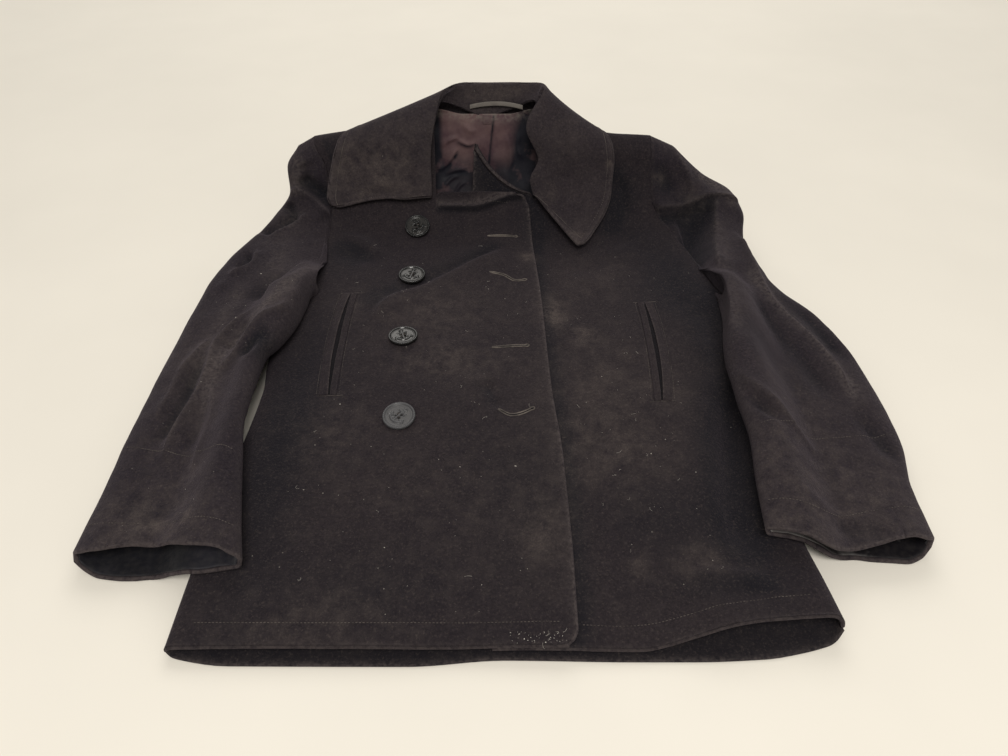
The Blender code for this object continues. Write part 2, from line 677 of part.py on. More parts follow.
def main():
    for thing in list(bpy.data.objects):
        bpy.data.objects.remove(thing)
    for name in ("pea_coat", "cutters"):
        bpy.context.scene.collection.children.link(bpy.data.collections.new(name))
    bpy.data.collections["cutters"].hide_render = True
    back(material("wool_back", WOOL, 0.95))
    front("front_overlap", True, material("wool_overlap", WOOL, 0.95))
    front("front_underlap", False, material("wool_underlap", WOOL, 0.95))
    for word, right in (("right", True), ("left", False)):
        sleeve(f"sleeve_{word}_upper", right, True, material(f"wool_sleeve_{word}_upper", WOOL, 0.95))
        sleeve(f"sleeve_{word}_under", right, False, material(f"wool_sleeve_{word}_under", WOOL, 0.95))
        cuff_lining(f"cuff_lining_{word}", right, material(f"satin_cuff_{word}", CUFF_SATIN, 0.45))
    collar(material("wool_collar", COLLAR_WOOL, 0.95))
    back_lining(material("satin_back", SATIN, 0.4))
    hanger_loop(material("hanger_cloth", LOOP_GREY, 0.7))
    for word, right, pocket in (("right", True, POCKET_RIGHT), ("left", False, POCKET_LEFT)):
        out = -1.0 if right else 1.0
        welt(f"welt_{word}_side", pocket, out, right, material(f"wool_welt_side_{word}", WOOL, 0.95))
        welt(f"welt_{word}_front", pocket, -out, right, material(f"wool_welt_front_{word}", WOOL, 0.95))
    buttons(material("button_black", BUTTON_BLACK, 0.2))


if __name__ == "__main__":
    main()
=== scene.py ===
"""Double-breasted wool pea coat that lies on its back, its fronts lapped and its collar turned down.

Every piece is worked out in layout coordinates: x across the coat, s up its back from the hem, and n away
from the surface that it lies on. `lay` turns them into space. The coat is flat as far as BEND_START; from
there its shoulder end curves up until it leans at BEND_ANGLE. The hem points to -Y, and the wearer's right
is at -X. All sizes are metres.
"""

import logging
import math
from collections.abc import Callable, Sequence
from dataclasses import dataclass, field, replace
from enum import Enum

import bpy
import numpy as np
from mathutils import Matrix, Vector


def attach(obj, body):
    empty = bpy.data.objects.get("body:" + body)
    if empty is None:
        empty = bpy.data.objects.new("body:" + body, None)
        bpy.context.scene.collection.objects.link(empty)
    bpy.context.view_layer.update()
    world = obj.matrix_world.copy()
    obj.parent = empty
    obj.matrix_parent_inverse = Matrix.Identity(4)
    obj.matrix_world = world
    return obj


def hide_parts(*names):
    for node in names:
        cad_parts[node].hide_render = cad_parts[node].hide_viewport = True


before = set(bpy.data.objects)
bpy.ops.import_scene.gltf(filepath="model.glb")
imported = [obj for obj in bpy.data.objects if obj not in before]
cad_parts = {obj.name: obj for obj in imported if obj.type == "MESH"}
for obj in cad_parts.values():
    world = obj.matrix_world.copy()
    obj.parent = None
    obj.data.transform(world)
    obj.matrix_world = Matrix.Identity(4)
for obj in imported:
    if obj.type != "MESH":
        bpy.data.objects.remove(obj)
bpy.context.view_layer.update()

LOG = logging.getLogger("pea_coat")
Array = np.ndarray
Material = bpy.types.Material
Object = bpy.types.Object
Surface = Callable[[Array, Array], Array]

# thickness of the wool, the doubled collar and the satin
CLOTH = 0.0028
COLLAR_CLOTH = 0.0046
LINING = 0.0009
# the bend of the coat's back: s where it starts and ends, and its slope from there on
BEND_START = 0.56
BEND_END = 0.78
BEND_ANGLE = math.radians(75.0)
# the layout's point that is the origin in space
CENTRE_X = 0.0120
CENTRE_Y = 0.3671
# ridges that get a painted highlight along the crest: the least rise of one, the rise of the brightest, and
# the crest's width
CREST_LEAST = 0.0040
CREST_FULL = 0.007
CREST_WIDTH = 0.0030
# millimetres in a metre, for the rows of creases and patches
MM = 1000.0


def smooth(t: Array) -> Array:
    """0 below 0, 1 above 1, and an even ease between them."""
    t = np.clip(t, 0.0, 1.0)
    return t * t * (3.0 - 2.0 * t)


def corner(t: Array) -> Array:
    """Quarter-round profile: rises steeply from 0 and is level from 1 on."""
    t = np.clip(t, 0.0, 1.0)
    return np.sqrt(1.0 - (1.0 - t) ** 2)


def bell(distance: Array, width: float | Array) -> Array:
    """Bell curve: 1 at no distance and e to the -1 at the width."""
    return np.exp(-((distance / width) ** 2))


def curve(at: Array, known_at: Array, known: Array) -> Array:
    """Smooth curve through known values that doesn't overshoot them.

    A cubic between each two values, whose slope at a value is the harmonic mean of its neighbours' slopes.

    Args:
        at: where to read the curve.
        known_at: rising positions of the known values.
        known: the values.

    Returns:
        The curve's values, as many as `at`.
    """
    step = np.diff(known_at)
    slope = np.diff(known) / step
    product = slope[:-1] * slope[1:]
    total = slope[:-1] + slope[1:]
    middle = np.where(product > 0, 2 * product / np.where(total == 0, 1, total), 0.0)
    tangent = np.concatenate([slope[:1], middle, slope[-1:]])
    at = np.clip(at, known_at[0], known_at[-1])
    k = np.clip(np.searchsorted(known_at, at) - 1, 0, len(step) - 1)
    t = (at - known_at[k]) / step[k]
    rise = known[k] * (1 + 2 * t) * (1 - t) ** 2 + known[k + 1] * t * t * (3 - 2 * t)
    return rise + step[k] * (tangent[k] * t * (1 - t) ** 2 - tangent[k + 1] * t * t * (1 - t))


def catmull(at: Array, known: Array) -> Array:
    """Smooth curve through points of any shape: its slope at each is that of the line between its neighbours.

    Args:
        at: positions along the first axis, in steps of the known points.
        known: the points, one along the first axis for each whole step.

    Returns:
        Points, with `at` as their first axis.
    """
    tangent = np.gradient(known, axis=0)
    k = np.clip(np.floor(at).astype(int), 0, len(known) - 2)
    t = (at - k).reshape((-1,) + (1,) * (known.ndim - 1))
    near = known[k] * (1 + 2 * t) * (1 - t) ** 2 + tangent[k] * t * (1 - t) ** 2
    return near + known[k + 1] * t * t * (3 - 2 * t) - tangent[k + 1] * t * t * (1 - t)


@dataclass(frozen=True)
class Table:
    """Short table with named columns, read along its first column or by row number."""

    names: tuple[str, ...]
    rows: tuple[tuple[float, ...], ...]

    def column(self, name: str) -> Array:
        """The values of one column."""
        return np.array([row[self.names.index(name)] for row in self.rows])

    def at(self, name: str, where: Array) -> Array:
        """A column's smooth curve, read where the first column has the given values."""
        return curve(np.asarray(where, float), self.column(self.names[0]), self.column(name))

    def by_row(self, name: str, row: Array) -> Array:
        """A column's smooth curve, read at row numbers, which may lie between rows."""
        return curve(np.asarray(row, float), np.arange(float(len(self.rows))), self.column(name))


BODY_TABLE = Table(
    ("s", "right", "left", "deep"),
    (
        (0.000, -0.284, 0.290, 0.0150),
        (0.060, -0.283, 0.285, 0.0190),
        (0.120, -0.280, 0.279, 0.0240),
        (0.200, -0.275, 0.280, 0.0290),
        (0.300, -0.271, 0.280, 0.0310),
        (0.350, -0.277, 0.282, 0.0315),
        (0.400, -0.279, 0.284, 0.0315),
        (0.438, -0.273, 0.287, 0.0315),
        (0.470, -0.258, 0.279, 0.0315),
        (0.500, -0.249, 0.270, 0.0315),
        (0.560, -0.246, 0.256, 0.0315),
        (0.620, -0.246, 0.238, 0.0320),
        (0.668, -0.247, 0.218, 0.0330),
        (0.700, -0.248, 0.210, 0.0340),
        (0.750, -0.251, 0.208, 0.0345),
        (0.800, -0.268, 0.206, 0.0345),
        (0.860, -0.268, 0.206, 0.0345),
    ),
)
SHOULDER_TABLE = Table(
    ("x", "s"),
    (
        (-0.290, 0.790),
        (-0.268, 0.795),
        (-0.205, 0.805),
        (-0.150, 0.817),
        (-0.098, 0.831),
        (0.046, 0.831),
        (0.090, 0.817),
        (0.150, 0.799),
        (0.206, 0.796),
        (0.240, 0.790),
    ),
)
EDGE_TABLE = Table(
    ("s", "overlap", "underlap"),
    (
        (0.000, 0.054, -0.010),
        (0.006, 0.060, -0.011),
        (0.016, 0.063, -0.012),
        (0.070, 0.063, -0.014),
        (0.200, 0.060, -0.020),
        (0.300, 0.053, -0.026),
        (0.480, 0.047, -0.036),
        (0.600, 0.040, -0.042),
        (0.680, 0.036, -0.045),
        (0.698, 0.030, -0.045),
        (0.710, 0.016, -0.045),
        (0.780, 0.014, -0.042),
    ),
)
HEM_TABLE = Table(
    ("x", "front", "back"),
    (
        (-0.286, -0.002, 0.000),
        (-0.278, -0.002, -0.004),
        (-0.230, -0.002, -0.011),
        (-0.080, -0.002, -0.0115),
        (0.000, -0.001, -0.006),
        (0.110, -0.002, -0.0075),
        (0.160, 0.006, -0.0075),
        (0.220, 0.017, -0.005),
        (0.250, 0.019, 0.000),
        (0.270, 0.019, 0.005),
        (0.283, 0.018, 0.010),
        (0.290, 0.016, 0.016),
    ),
)
SLEEVE_NAMES = ("inner_x", "inner_s", "outer_x", "outer_s", "deep", "bow")
SLEEVE_RIGHT_TABLE = Table(
    SLEEVE_NAMES,
    (
        (-0.238, 0.474, -0.291, 0.783, 0.0340, 0.010),
        (-0.241, 0.442, -0.309, 0.752, 0.0390, 0.008),
        (-0.243, 0.407, -0.307, 0.715, 0.0420, 0.006),
        (-0.246, 0.376, -0.327, 0.668, 0.0440, 0.004),
        (-0.256, 0.346, -0.356, 0.600, 0.0440, 0.002),
        (-0.266, 0.322, -0.380, 0.520, 0.0440, 0.0),
        (-0.267, 0.290, -0.389, 0.420, 0.0430, 0.0),
        (-0.266, 0.238, -0.393, 0.310, 0.0395, 0.0),
        (-0.255, 0.180, -0.395, 0.215, 0.0345, 0.0),
        (-0.242, 0.120, -0.394, 0.142, 0.0315, 0.0),
        (-0.229, 0.068, -0.395, 0.086, 0.0290, 0.0),
    ),
)
SLEEVE_LEFT_TABLE = Table(
    SLEEVE_NAMES,
    (
        (0.274, 0.456, 0.240, 0.782, 0.0330, 0.006),
        (0.269, 0.431, 0.282, 0.744, 0.0370, 0.003),
        (0.263, 0.405, 0.326, 0.712, 0.0410, 0.004),
        (0.258, 0.380, 0.343, 0.664, 0.0435, 0.003),
        (0.252, 0.356, 0.337, 0.600, 0.0440, 0.002),
        (0.247, 0.332, 0.346, 0.510, 0.0440, 0.0),
        (0.244, 0.304, 0.390, 0.414, 0.0430, 0.0),
        (0.244, 0.262, 0.412, 0.315, 0.0395, 0.0),
        (0.246, 0.214, 0.415, 0.230, 0.0345, 0.0),
        (0.240, 0.152, 0.403, 0.162, 0.0300, 0.0),
        (0.237, 0.100, 0.400, 0.098, 0.0250, 0.0),
    ),
)
MOUTH_NAMES = ("share", "upper_s", "upper_n", "lower_s")
MOUTH_RIGHT_TABLE = Table(
    MOUTH_NAMES,
    (
        (0.00, 0.000, 0.000, -0.004),
        (0.06, 0.000, 0.000, -0.003),
        (0.12, 0.003, -0.001, -0.004),
        (0.20, 0.0045, -0.003, -0.0075),
        (0.28, 0.004, -0.003, -0.010),
        (0.36, 0.0055, -0.001, -0.009),
        (0.45, 0.0085, 0.001, -0.0065),
        (0.55, 0.010, 0.002, -0.0065),
        (0.65, 0.008, 0.003, -0.0095),
        (0.75, 0.004, 0.003, -0.011),
        (0.85, -0.0005, 0.003, -0.0105),
        (0.93, -0.001, 0.001, -0.007),
        (1.00, 0.002, 0.000, -0.002),
    ),
)
MOUTH_LEFT_TABLE = Table(
    MOUTH_NAMES,
    (
        (0.00, 0.000, -0.002, -0.004),
        (0.06, -0.0035, -0.004, -0.001),
        (0.12, -0.006, -0.004, -0.001),
        (0.20, -0.011, -0.003, -0.004),
        (0.28, -0.0165, -0.002, -0.009),
        (0.36, -0.0185, 0.000, -0.0105),
        (0.45, -0.015, 0.001, -0.008),
        (0.55, -0.0115, 0.003, -0.006),
        (0.65, -0.007, 0.006, -0.008),
        (0.75, -0.0045, 0.009, -0.009),
        (0.85, -0.001, 0.009, -0.010),
        (0.93, -0.001, 0.006, -0.006),
        (1.00, 0.005, 0.004, 0.003),
    ),
)
COLLAR_TABLE = Table(
    ("neck_x", "neck_s", "neck_n", "roll_x", "roll_s", "roll_n", "knee_n", "edge_x", "edge_s", "edge_n"),
    (
        (-0.110, 0.698, 0.0375, -0.103, 0.697, 0.0420, 0.0465, -0.254, 0.667, 0.0400),
        (-0.110, 0.730, 0.0380, -0.103, 0.732, 0.0440, 0.0500, -0.250, 0.720, 0.0400),
        (-0.109, 0.765, 0.0380, -0.103, 0.772, 0.0440, 0.0500, -0.243, 0.757, 0.0400),
        (-0.104, 0.800, 0.0375, -0.097, 0.812, 0.0430, 0.0480, -0.235, 0.782, 0.0400),
        (-0.094, 0.838, 0.0300, -0.086, 0.848, 0.0330, 0.0340, -0.224, 0.799, 0.0240),
        (-0.082, 0.840, 0.0180, -0.074, 0.858, 0.0180, 0.0130, -0.192, 0.800, -0.0060),
        (-0.060, 0.830, 0.0050, -0.056, 0.862, 0.0020, -0.0060, -0.120, 0.775, -0.0065),
        (-0.026, 0.818, 0.0020, -0.022, 0.863, -0.0010, -0.0060, -0.030, 0.756, -0.0065),
        (0.010, 0.828, 0.0035, 0.022, 0.863, 0.0000, -0.0060, 0.050, 0.764, -0.0065),
        (0.034, 0.840, 0.0180, 0.052, 0.862, 0.0160, 0.0110, 0.112, 0.794, -0.0060),
        (0.046, 0.838, 0.0300, 0.050, 0.850, 0.0340, 0.0340, 0.140, 0.800, 0.0240),
        (0.048, 0.804, 0.0380, 0.031, 0.812, 0.0440, 0.0490, 0.152, 0.782, 0.0420),
        (0.056, 0.768, 0.0380, 0.048, 0.770, 0.0440, 0.0490, 0.154, 0.742, 0.0400),
        (0.048, 0.735, 0.0380, 0.038, 0.737, 0.0440, 0.0490, 0.146, 0.670, 0.0400),
        (0.050, 0.704, 0.0370, 0.043, 0.703, 0.0420, 0.0470, 0.106, 0.563, 0.0400),
    ),
)


class Side(Enum):
    """The wearer's sides: the column of their outline, and the way in x from the middle to that side."""

    RIGHT = ("right", -1.0)
    LEFT = ("left", 1.0)

    @property
    def word(self) -> str:
        """Name of the side, as node names have it."""
        return self.value[0]

    @property
    def out(self) -> float:
        """Direction in x from the coat's middle to this side."""
        return self.value[1]


class Leaf(Enum):
    """Which of two facing layers of cloth a surface is."""

    FRONT = 1.0
    BACK = -1.0


def bend_table() -> tuple[Array, Array, Array, Array]:
    """s, slope, forward reach and height of the bent back, summed along it in even steps."""
    s = np.linspace(-0.1, 1.1, 1201)
    angle = BEND_ANGLE * smooth((s - BEND_START) / (BEND_END - BEND_START))
    step = s[1] - s[0]
    reach = np.concatenate([[0.0], np.cumsum((np.cos(angle[1:]) + np.cos(angle[:-1])) / 2) * step])
    height = np.concatenate([[0.0], np.cumsum((np.sin(angle[1:]) + np.sin(angle[:-1])) / 2) * step])
    return s, angle, reach + s[0], height


BEND_S, BEND_SLOPE, BEND_REACH, BEND_HEIGHT = bend_table()


def lay(x: Array, s: Array, n: Array) -> Array:
    """Points in space of layout coordinates: s is followed along the bent back, and n stands off it."""
    slope = np.interp(s, BEND_S, BEND_SLOPE)
    y = np.interp(s, BEND_S, BEND_REACH) - n * np.sin(slope) - CENTRE_Y
    z = np.interp(s, BEND_S, BEND_HEIGHT) + n * np.cos(slope)
    return np.stack(np.broadcast_arrays(x - CENTRE_X, y, z), axis=-1)


def lay_points(points: Array) -> Array:
    """Points in space for an array of layout points."""
    return lay(*np.moveaxis(points, -1, 0))


# ---------------------------------------------------------------------------------------------------
# Creases


@dataclass(frozen=True)
class Crease:
    """Soft ridge (positive rise) or trough (negative) along a smooth path in x and s.

    The rise falls off as a bell curve to each side, with its own width on the left and on the right of the
    path's direction, and fades towards the two ends.
    """

    path: tuple[tuple[float, float], ...]
    rise: float
    left: float
    right: float
    fade: float = 0.35

    def height(self, x: Array, s: Array, crisp: bool = False) -> Array:
        """Rise of the crease at each point: the nearest of the path's short straight runs decides.

        Args:
            x, s: where to read it.
            crisp: whether a ridge has straight flanks and a narrow round crest, instead of a bell's.

        Returns:
            Heights.
        """
        reach = 3.0 * max(self.left, self.right)
        corners = np.array(self.path)
        low, high = corners.min(0) - reach, corners.max(0) + reach
        near = (x > low[0]) & (x < high[0]) & (s > low[1]) & (s < high[1])
        rise = np.zeros(np.shape(x))
        if not near.any():
            return rise
        px, ps = x[near], s[near]
        line = catmull(np.linspace(0, len(corners) - 1, 6 * (len(corners) - 1) + 1), corners)
        run = np.diff(line, axis=0)
        length = np.hypot(run[:, 0], run[:, 1])
        start = np.concatenate([[0.0], np.cumsum(length)])
        best = np.full(px.shape, np.inf)
        side = np.zeros(px.shape)
        along = np.zeros(px.shape)
        for i, (step, size) in enumerate(zip(run, length)):
            dx, ds = px - line[i, 0], ps - line[i, 1]
            t = np.clip((dx * step[0] + ds * step[1]) / size**2, 0, 1)
            gap = np.hypot(dx - t * step[0], ds - t * step[1])
            nearer = gap < best
            best = np.where(nearer, gap, best)
            side = np.where(nearer, step[0] * ds - step[1] * dx, side)
            along = np.where(nearer, (start[i] + t * size) / start[-1], along)
        width = np.where(side > 0, self.left, self.right)
        ends = smooth(along / self.fade) * smooth((1 - along) / self.fade) if self.fade > 0 else 1.0
        uneven = 1.0 + 0.18 * np.sin(along * 9.0 + 40 * corners[0, 0])
        profile = bell(best, width)
        if crisp and self.rise > 0:
            profile = np.exp(-1.6 * (np.hypot(best / width, 0.22) - 0.22))
        rise[near] = self.rise * profile * ends * uneven
        return rise


def creases(*rows: tuple, unit: float = MM) -> tuple[Crease, ...]:
    """Creases from rows of numbers.

    Args:
        rows: rise, width on the left, width on the right, fade, and the points of the path. The fade is a
            share of the path, and all other numbers are millimetres.
        unit: what the rise is divided by.

    Returns:
        The creases.
    """
    return tuple(
        Crease(tuple((x / MM, s / MM) for x, s in path), rise / unit, left / MM, right / MM, fade)
        for rise, left, right, fade, *path in rows
    )


def shades(*rows: tuple) -> tuple[Crease, ...]:
    """Creases from like rows, whose rise is an amount of painted shade, or of wear with painted highlight."""
    return creases(*rows, unit=1.0)


def heights(folds: Sequence[Crease], x: Array, s: Array, crisp: bool = False) -> Array:
    """Sum of the creases' rises."""
    total = np.zeros(np.shape(x))
    for fold in folds:
        total = total + fold.height(x, s, crisp)
    return total


def crest_highlights(folds: Sequence[Crease], x: Array, s: Array) -> Array:
    """Narrow lines of painted highlight along the higher ridges, as amounts of wear."""
    ridges = [fold for fold in folds if fold.rise >= CREST_LEAST]
    width = {"left": CREST_WIDTH, "right": CREST_WIDTH}
    lines = [replace(ridge, rise=min(1.0, ridge.rise / CREST_FULL), **width) for ridge in ridges]
    return heights(lines, x, s)


def waves(x: Array, s: Array, seed: int, size: float, rise: float, count: int = 7) -> Array:
    """Gentle unevenness: a sum of sine waves of about one wavelength in seeded directions.

    Args:
        x, s: where to read it.
        seed: which set of waves.
        size: their wavelength.
        rise: how far they reach, up or down.
        count: how many there are.

    Returns:
        Heights.
    """
    draw = np.random.default_rng(seed)
    angle = draw.uniform(0, 2 * math.pi, count)
    turn = 2 * math.pi / (size * draw.uniform(0.7, 1.5, count))
    phase = draw.uniform(0, 2 * math.pi, count)
    total = np.zeros(np.shape(x))
    for a, k, p in zip(angle, turn, phase):
        total = total + np.sin(k * (x * math.cos(a) + s * math.sin(a)) + p)
    return rise * total / math.sqrt(count)


BODY_CREASES = creases(
    # from the right armhole towards the second button
    (5, 14, 7, 0.35, (-243, 622), (-211, 604), (-191, 587), (-162, 552)),
    (-4, 12, 22, 0.35, (-236, 590), (-205, 570), (-170, 535)),
    # the long slanting fold across the overlap, between the first two buttons
    (5.2, 32, 5.5, 0.18, (4, 584), (-45, 541), (-90, 502), (-143, 462), (-166, 410)),
    (-3, 9, 12, 0.2, (0, 590), (-47, 550), (-94, 511), (-143, 474)),
    (-2.2, 20, 24, 0.35, (-110, 600), (-60, 590), (-10, 610)),
    # short step beside the lowest buttonhole
    (-4.2, 5.5, 11, 0.25, (-18, 312), (-12, 290), (-2, 264)),
    (2.2, 10, 12, 0.35, (-30, 330), (-26, 295), (-16, 255)),
    # soft hollows and swells of the overlap
    (-1.8, 30, 30, 0.35, (-150, 330), (-95, 315), (-30, 330)),
    (1.6, 40, 45, 0.35, (-200, 200), (-120, 170), (-20, 195)),
    (-1.6, 30, 40, 0.35, (-225, 120), (-150, 80), (-60, 90)),
    (-3, 18, 20, 0.35, (-232, 430), (-225, 350), (-236, 240)),
    (1.4, 24, 30, 0.35, (-160, 280), (-140, 210), (-150, 130)),
    # under the collar's points
    (-2.6, 18, 20, 0.35, (60, 560), (110, 545), (150, 575)),
    (3.4, 14, 22, 0.35, (136, 556), (180, 590), (236, 622)),
    (-4.2, 10, 12, 0.35, (166, 740), (170, 705), (175, 660)),
    (2.6, 12, 14, 0.35, (190, 700), (196, 640), (190, 580)),
    # dented side and folded corner above the left hem
    (-14.5, 14, 18, 0.22, (256, 330), (243, 240), (228, 160), (222, 78)),
    (2.4, 12, 16, 0.35, (210, 250), (198, 170), (196, 100)),
    (4.2, 6, 10, 0.3, (158, 60), (185, 67), (215, 62), (238, 66)),
    (-3, 8, 12, 0.35, (180, 46), (205, 44), (236, 50)),
    (-2.8, 12, 14, 0.35, (130, 52), (155, 40), (180, 46)),
    (2.2, 14, 20, 0.35, (120, 170), (155, 140), (190, 108)),
    (-2, 14, 18, 0.35, (100, 190), (75, 150), (66, 100)),
    (-1.6, 26, 26, 0.35, (110, 380), (140, 330), (150, 260)),
    (1.6, 22, 28, 0.35, (80, 330), (95, 260), (125, 215)),
    (2.6, 16, 18, 0.35, (205, 460), (225, 400), (232, 330)),
    (-4, 12, 14, 0.35, (255, 470), (256, 410), (250, 350)),
)

# dark sides of folds, as amounts of shade
BODY_DARK = shades(
    (0.95, 6, 26, 0.15, (10, 602), (-40, 556), (-90, 515), (-143, 476), (-168, 430)),
    (0.7, 3, 35, 0.2, (-240, 606), (-212, 592), (-190, 572), (-172, 550)),
    (0.9, 12, 3, 0.2, (-256, 795), (-242, 765), (-240, 730)),
    (1, 30, 26, 0.15, (256, 350), (242, 240), (225, 150), (220, 60)),
    (0.9, 16, 26, 0.2, (266, 520), (264, 450), (254, 380), (246, 320)),
    (0.7, 10, 8, 0.3, (205, 52), (222, 56), (246, 50)),
    (0.8, 4, 8, 0.35, (-22, 310), (-14, 286), (-4, 262)),
    (0.9, 12, 22, 0.2, (150, 770), (163, 700), (150, 610)),
)

RIGHT_SLEEVE_CREASES = creases(
    # pinch below the shoulder: a crisp edge that slants down to the seam, with a hollow above it
    (8.5, 4, 20, 0.1, (-300, 722), (-282, 709), (-268, 695), (-254, 672), (-243, 655)),
    (-8, 12, 7, 0.2, (-292, 736), (-272, 722), (-252, 695)),
    (3.6, 10, 5, 0.3, (-298, 730), (-281, 739), (-253, 737)),
    (4.5, 16, 16, 0.4, (-290, 778), (-276, 755)),
    (-7, 6, 10, 0.2, (-306, 690), (-297, 660), (-296, 635)),
    (5.6, 18, 6, 0.25, (-276, 668), (-291, 634), (-300, 614), (-316, 600), (-332, 590)),
    (-5.2, 8, 10, 0.25, (-300, 650), (-318, 622), (-340, 602)),
    (-5, 5, 6, 0.25, (-343, 556), (-340, 530), (-352, 510)),
    (4.2, 12, 5, 0.25, (-334, 562), (-331, 530), (-342, 505), (-358, 490)),
    # long folds that run down to the inside of the elbow
    (5, 16, 7.5, 0.25, (-250, 535), (-263, 509), (-282, 465), (-291, 417)),
    (-3.4, 14, 14, 0.35, (-283, 510), (-300, 470), (-314, 432)),
    (6.6, 14, 6, 0.14, (-292, 413), (-315, 394), (-328, 372), (-333, 350), (-331, 320), (-331, 278),
     (-338, 225), (-342, 180)),
    (5, 9, 10, 0.25, (-340, 378), (-350, 342), (-358, 312), (-361, 275), (-368, 230)),
    (-5.6, 7.5, 8, 0.25, (-339, 345), (-343, 310), (-345, 260), (-353, 200)),
    (5.8, 8, 14, 0.2, (-240, 398), (-260, 379), (-278, 364), (-297, 335), (-322, 304)),
    (-5.5, 9, 8, 0.3, (-262, 352), (-276, 336), (-290, 312)),
    (-4, 9, 8, 0.3, (-296, 388), (-308, 365), (-316, 340)),
    (4.6, 14, 6.5, 0.25, (-320, 300), (-313, 275), (-306, 243), (-304, 200), (-306, 165)),
    (-3.6, 7, 7, 0.35, (-323, 275), (-318, 235), (-319, 190)),
    (2.2, 16, 18, 0.35, (-366, 440), (-352, 490), (-340, 540)),
    (-1.6, 20, 20, 0.35, (-380, 150), (-330, 125), (-270, 130)),
)

LEFT_SLEEVE_CREASES = creases(
    # ledge across the sleeve's head: full cloth above it, and a hollow under it
    (8.6, 18, 4, 0.1, (200, 674), (227, 675), (262, 684), (287, 701), (312, 702), (348, 690)),
    (-6.6, 6, 20, 0.2, (210, 660), (243, 659), (274, 671), (290, 684)),
    (5.6, 10, 12, 0.2, (234, 796), (243, 776), (260, 748), (270, 704)),
    (-4, 8, 12, 0.35, (222, 765), (232, 728), (246, 702)),
    (-4.5, 10, 8, 0.35, (284, 754), (291, 730), (300, 714)),
    (4, 10, 10, 0.35, (306, 744), (318, 726), (330, 712)),
    # upright edge below the ledge: the cloth rises steeply to it from the armhole, and falls away beyond it
    (10, 26, 8, 0.16, (302, 716), (298, 680), (293, 604), (282, 540), (277, 495)),
    (-8, 12, 16, 0.2, (274, 672), (264, 610), (256, 550), (260, 500)),
    (-4, 8, 14, 0.35, (345, 660), (338, 610), (330, 560)),
    # sharp line of the hind seam down the elbow, hollow on its inner side
    (5.6, 5, 18, 0.14, (318, 615), (325, 574), (327, 510), (330, 452), (345, 400), (370, 330), (378, 270)),
    (-5, 10, 16, 0.25, (304, 470), (318, 400), (340, 330), (356, 260)),
    (-5, 10, 12, 0.35, (352, 450), (374, 390), (394, 320)),
    (4, 8, 10, 0.35, (354, 490), (376, 435), (400, 370), (406, 300)),
    # fold that runs out from the inside of the elbow
    (5, 12, 7, 0.22, (240, 300), (260, 256), (290, 216), (322, 190)),
    (-4.4, 7, 7, 0.35, (248, 262), (262, 234), (284, 204)),
    (-3, 18, 18, 0.35, (270, 400), (290, 330), (322, 240)),
    (-4.2, 9, 9, 0.35, (368, 262), (384, 220), (394, 180)),
    (2, 14, 14, 0.35, (262, 160), (290, 130), (330, 120)),
    (-2.6, 12, 12, 0.35, (300, 116), (330, 104), (355, 108)),
)

BACK_CREASES = creases(
    (1.6, 20, 24, 0.35, (-200, 640), (-110, 680), (10, 690), (120, 670)),
    (1.8, 12, 16, 0.35, (-220, 700), (-150, 730), (-90, 720)),
    (1.8, 12, 16, 0.35, (60, 735), (120, 715), (180, 735)),
)

LINING_CREASES = creases(
    (3, 5, 2, 0.2, (-96, 742), (-80, 756), (-66, 778)),
    (2.2, 4, 2, 0.35, (-92, 776), (-78, 786), (-60, 792)),
    (2.4, 2.2, 4, 0.35, (-70, 790), (-52, 782), (-38, 786)),
    (2.4, 4, 2, 0.35, (-88, 736), (-70, 744), (-50, 746)),
    (2.6, 3.5, 1.8, 0.35, (-90, 716), (-76, 732), (-62, 736)),
    (2.4, 3, 1.8, 0.35, (-74, 706), (-64, 722), (-52, 728)),
    (1.6, 3, 4, 0.35, (-60, 812), (-48, 800), (-34, 802)),
    (2, 4, 3, 0.35, (2, 796), (10, 768), (6, 738)),
    (1.8, 3, 3, 0.35, (22, 800), (20, 778), (26, 756)),
    (1.8, 1.8, 6, 0.08, (-15, 824), (-19, 790), (-25, 740)),
)
# shaded folds of the lining, as amounts
LINING_DARK = shades(
    (1, 2.2, 1, 0.04, (-14.5, 824), (-18.5, 790), (-24, 740)),
    (1, 1.2, 3, 0.2, (-96, 738), (-80, 752), (-64, 775)),
    (0.8, 1.2, 3, 0.2, (-70, 787), (-52, 779), (-38, 783)),
    (0.9, 1.2, 3, 0.2, (-88, 733), (-70, 741), (-50, 743)),
)


# ---------------------------------------------------------------------------------------------------
# Meshes


def grid(first: Array, second: Array) -> tuple[Array, Array]:
    """Two arrays of rows and columns: the first varies from row to row, and the second along them."""
    return tuple(np.meshgrid(first, second, indexing="ij"))


def marks_of(dust: Array | float, wear_and_highlight: Array | float = 0.0, shade: Array | float = 0.0) -> Array:
    """Marks for a list of points, each amount held between 0 and 1."""
    return np.clip(np.stack(np.broadcast_arrays(dust, wear_and_highlight, shade), -1), 0, 1).reshape(-1, 3)


def quads_of(rows: int, columns: int, keep: Array | None = None, closed: bool = False) -> Array:
    """Quads of a grid of points numbered row by row.

    Args:
        rows, columns: size of the grid.
        keep: which of the quads there are, or None for all.
        closed: whether the last column joins the first.

    Returns:
        Four point numbers for each quad.
    """
    i, j = grid(np.arange(rows - 1), np.arange(columns if closed else columns - 1))
    k = (j + 1) % columns
    quads = np.stack([i * columns + j, i * columns + k, (i + 1) * columns + k, (i + 1) * columns + j], -1)
    return quads[keep] if keep is not None else quads.reshape(-1, 4)


def unit(vectors: Array) -> Array:
    """Vectors of length 1 along the last axis."""
    return vectors / np.maximum(np.linalg.norm(vectors, axis=-1, keepdims=True), 1e-12)


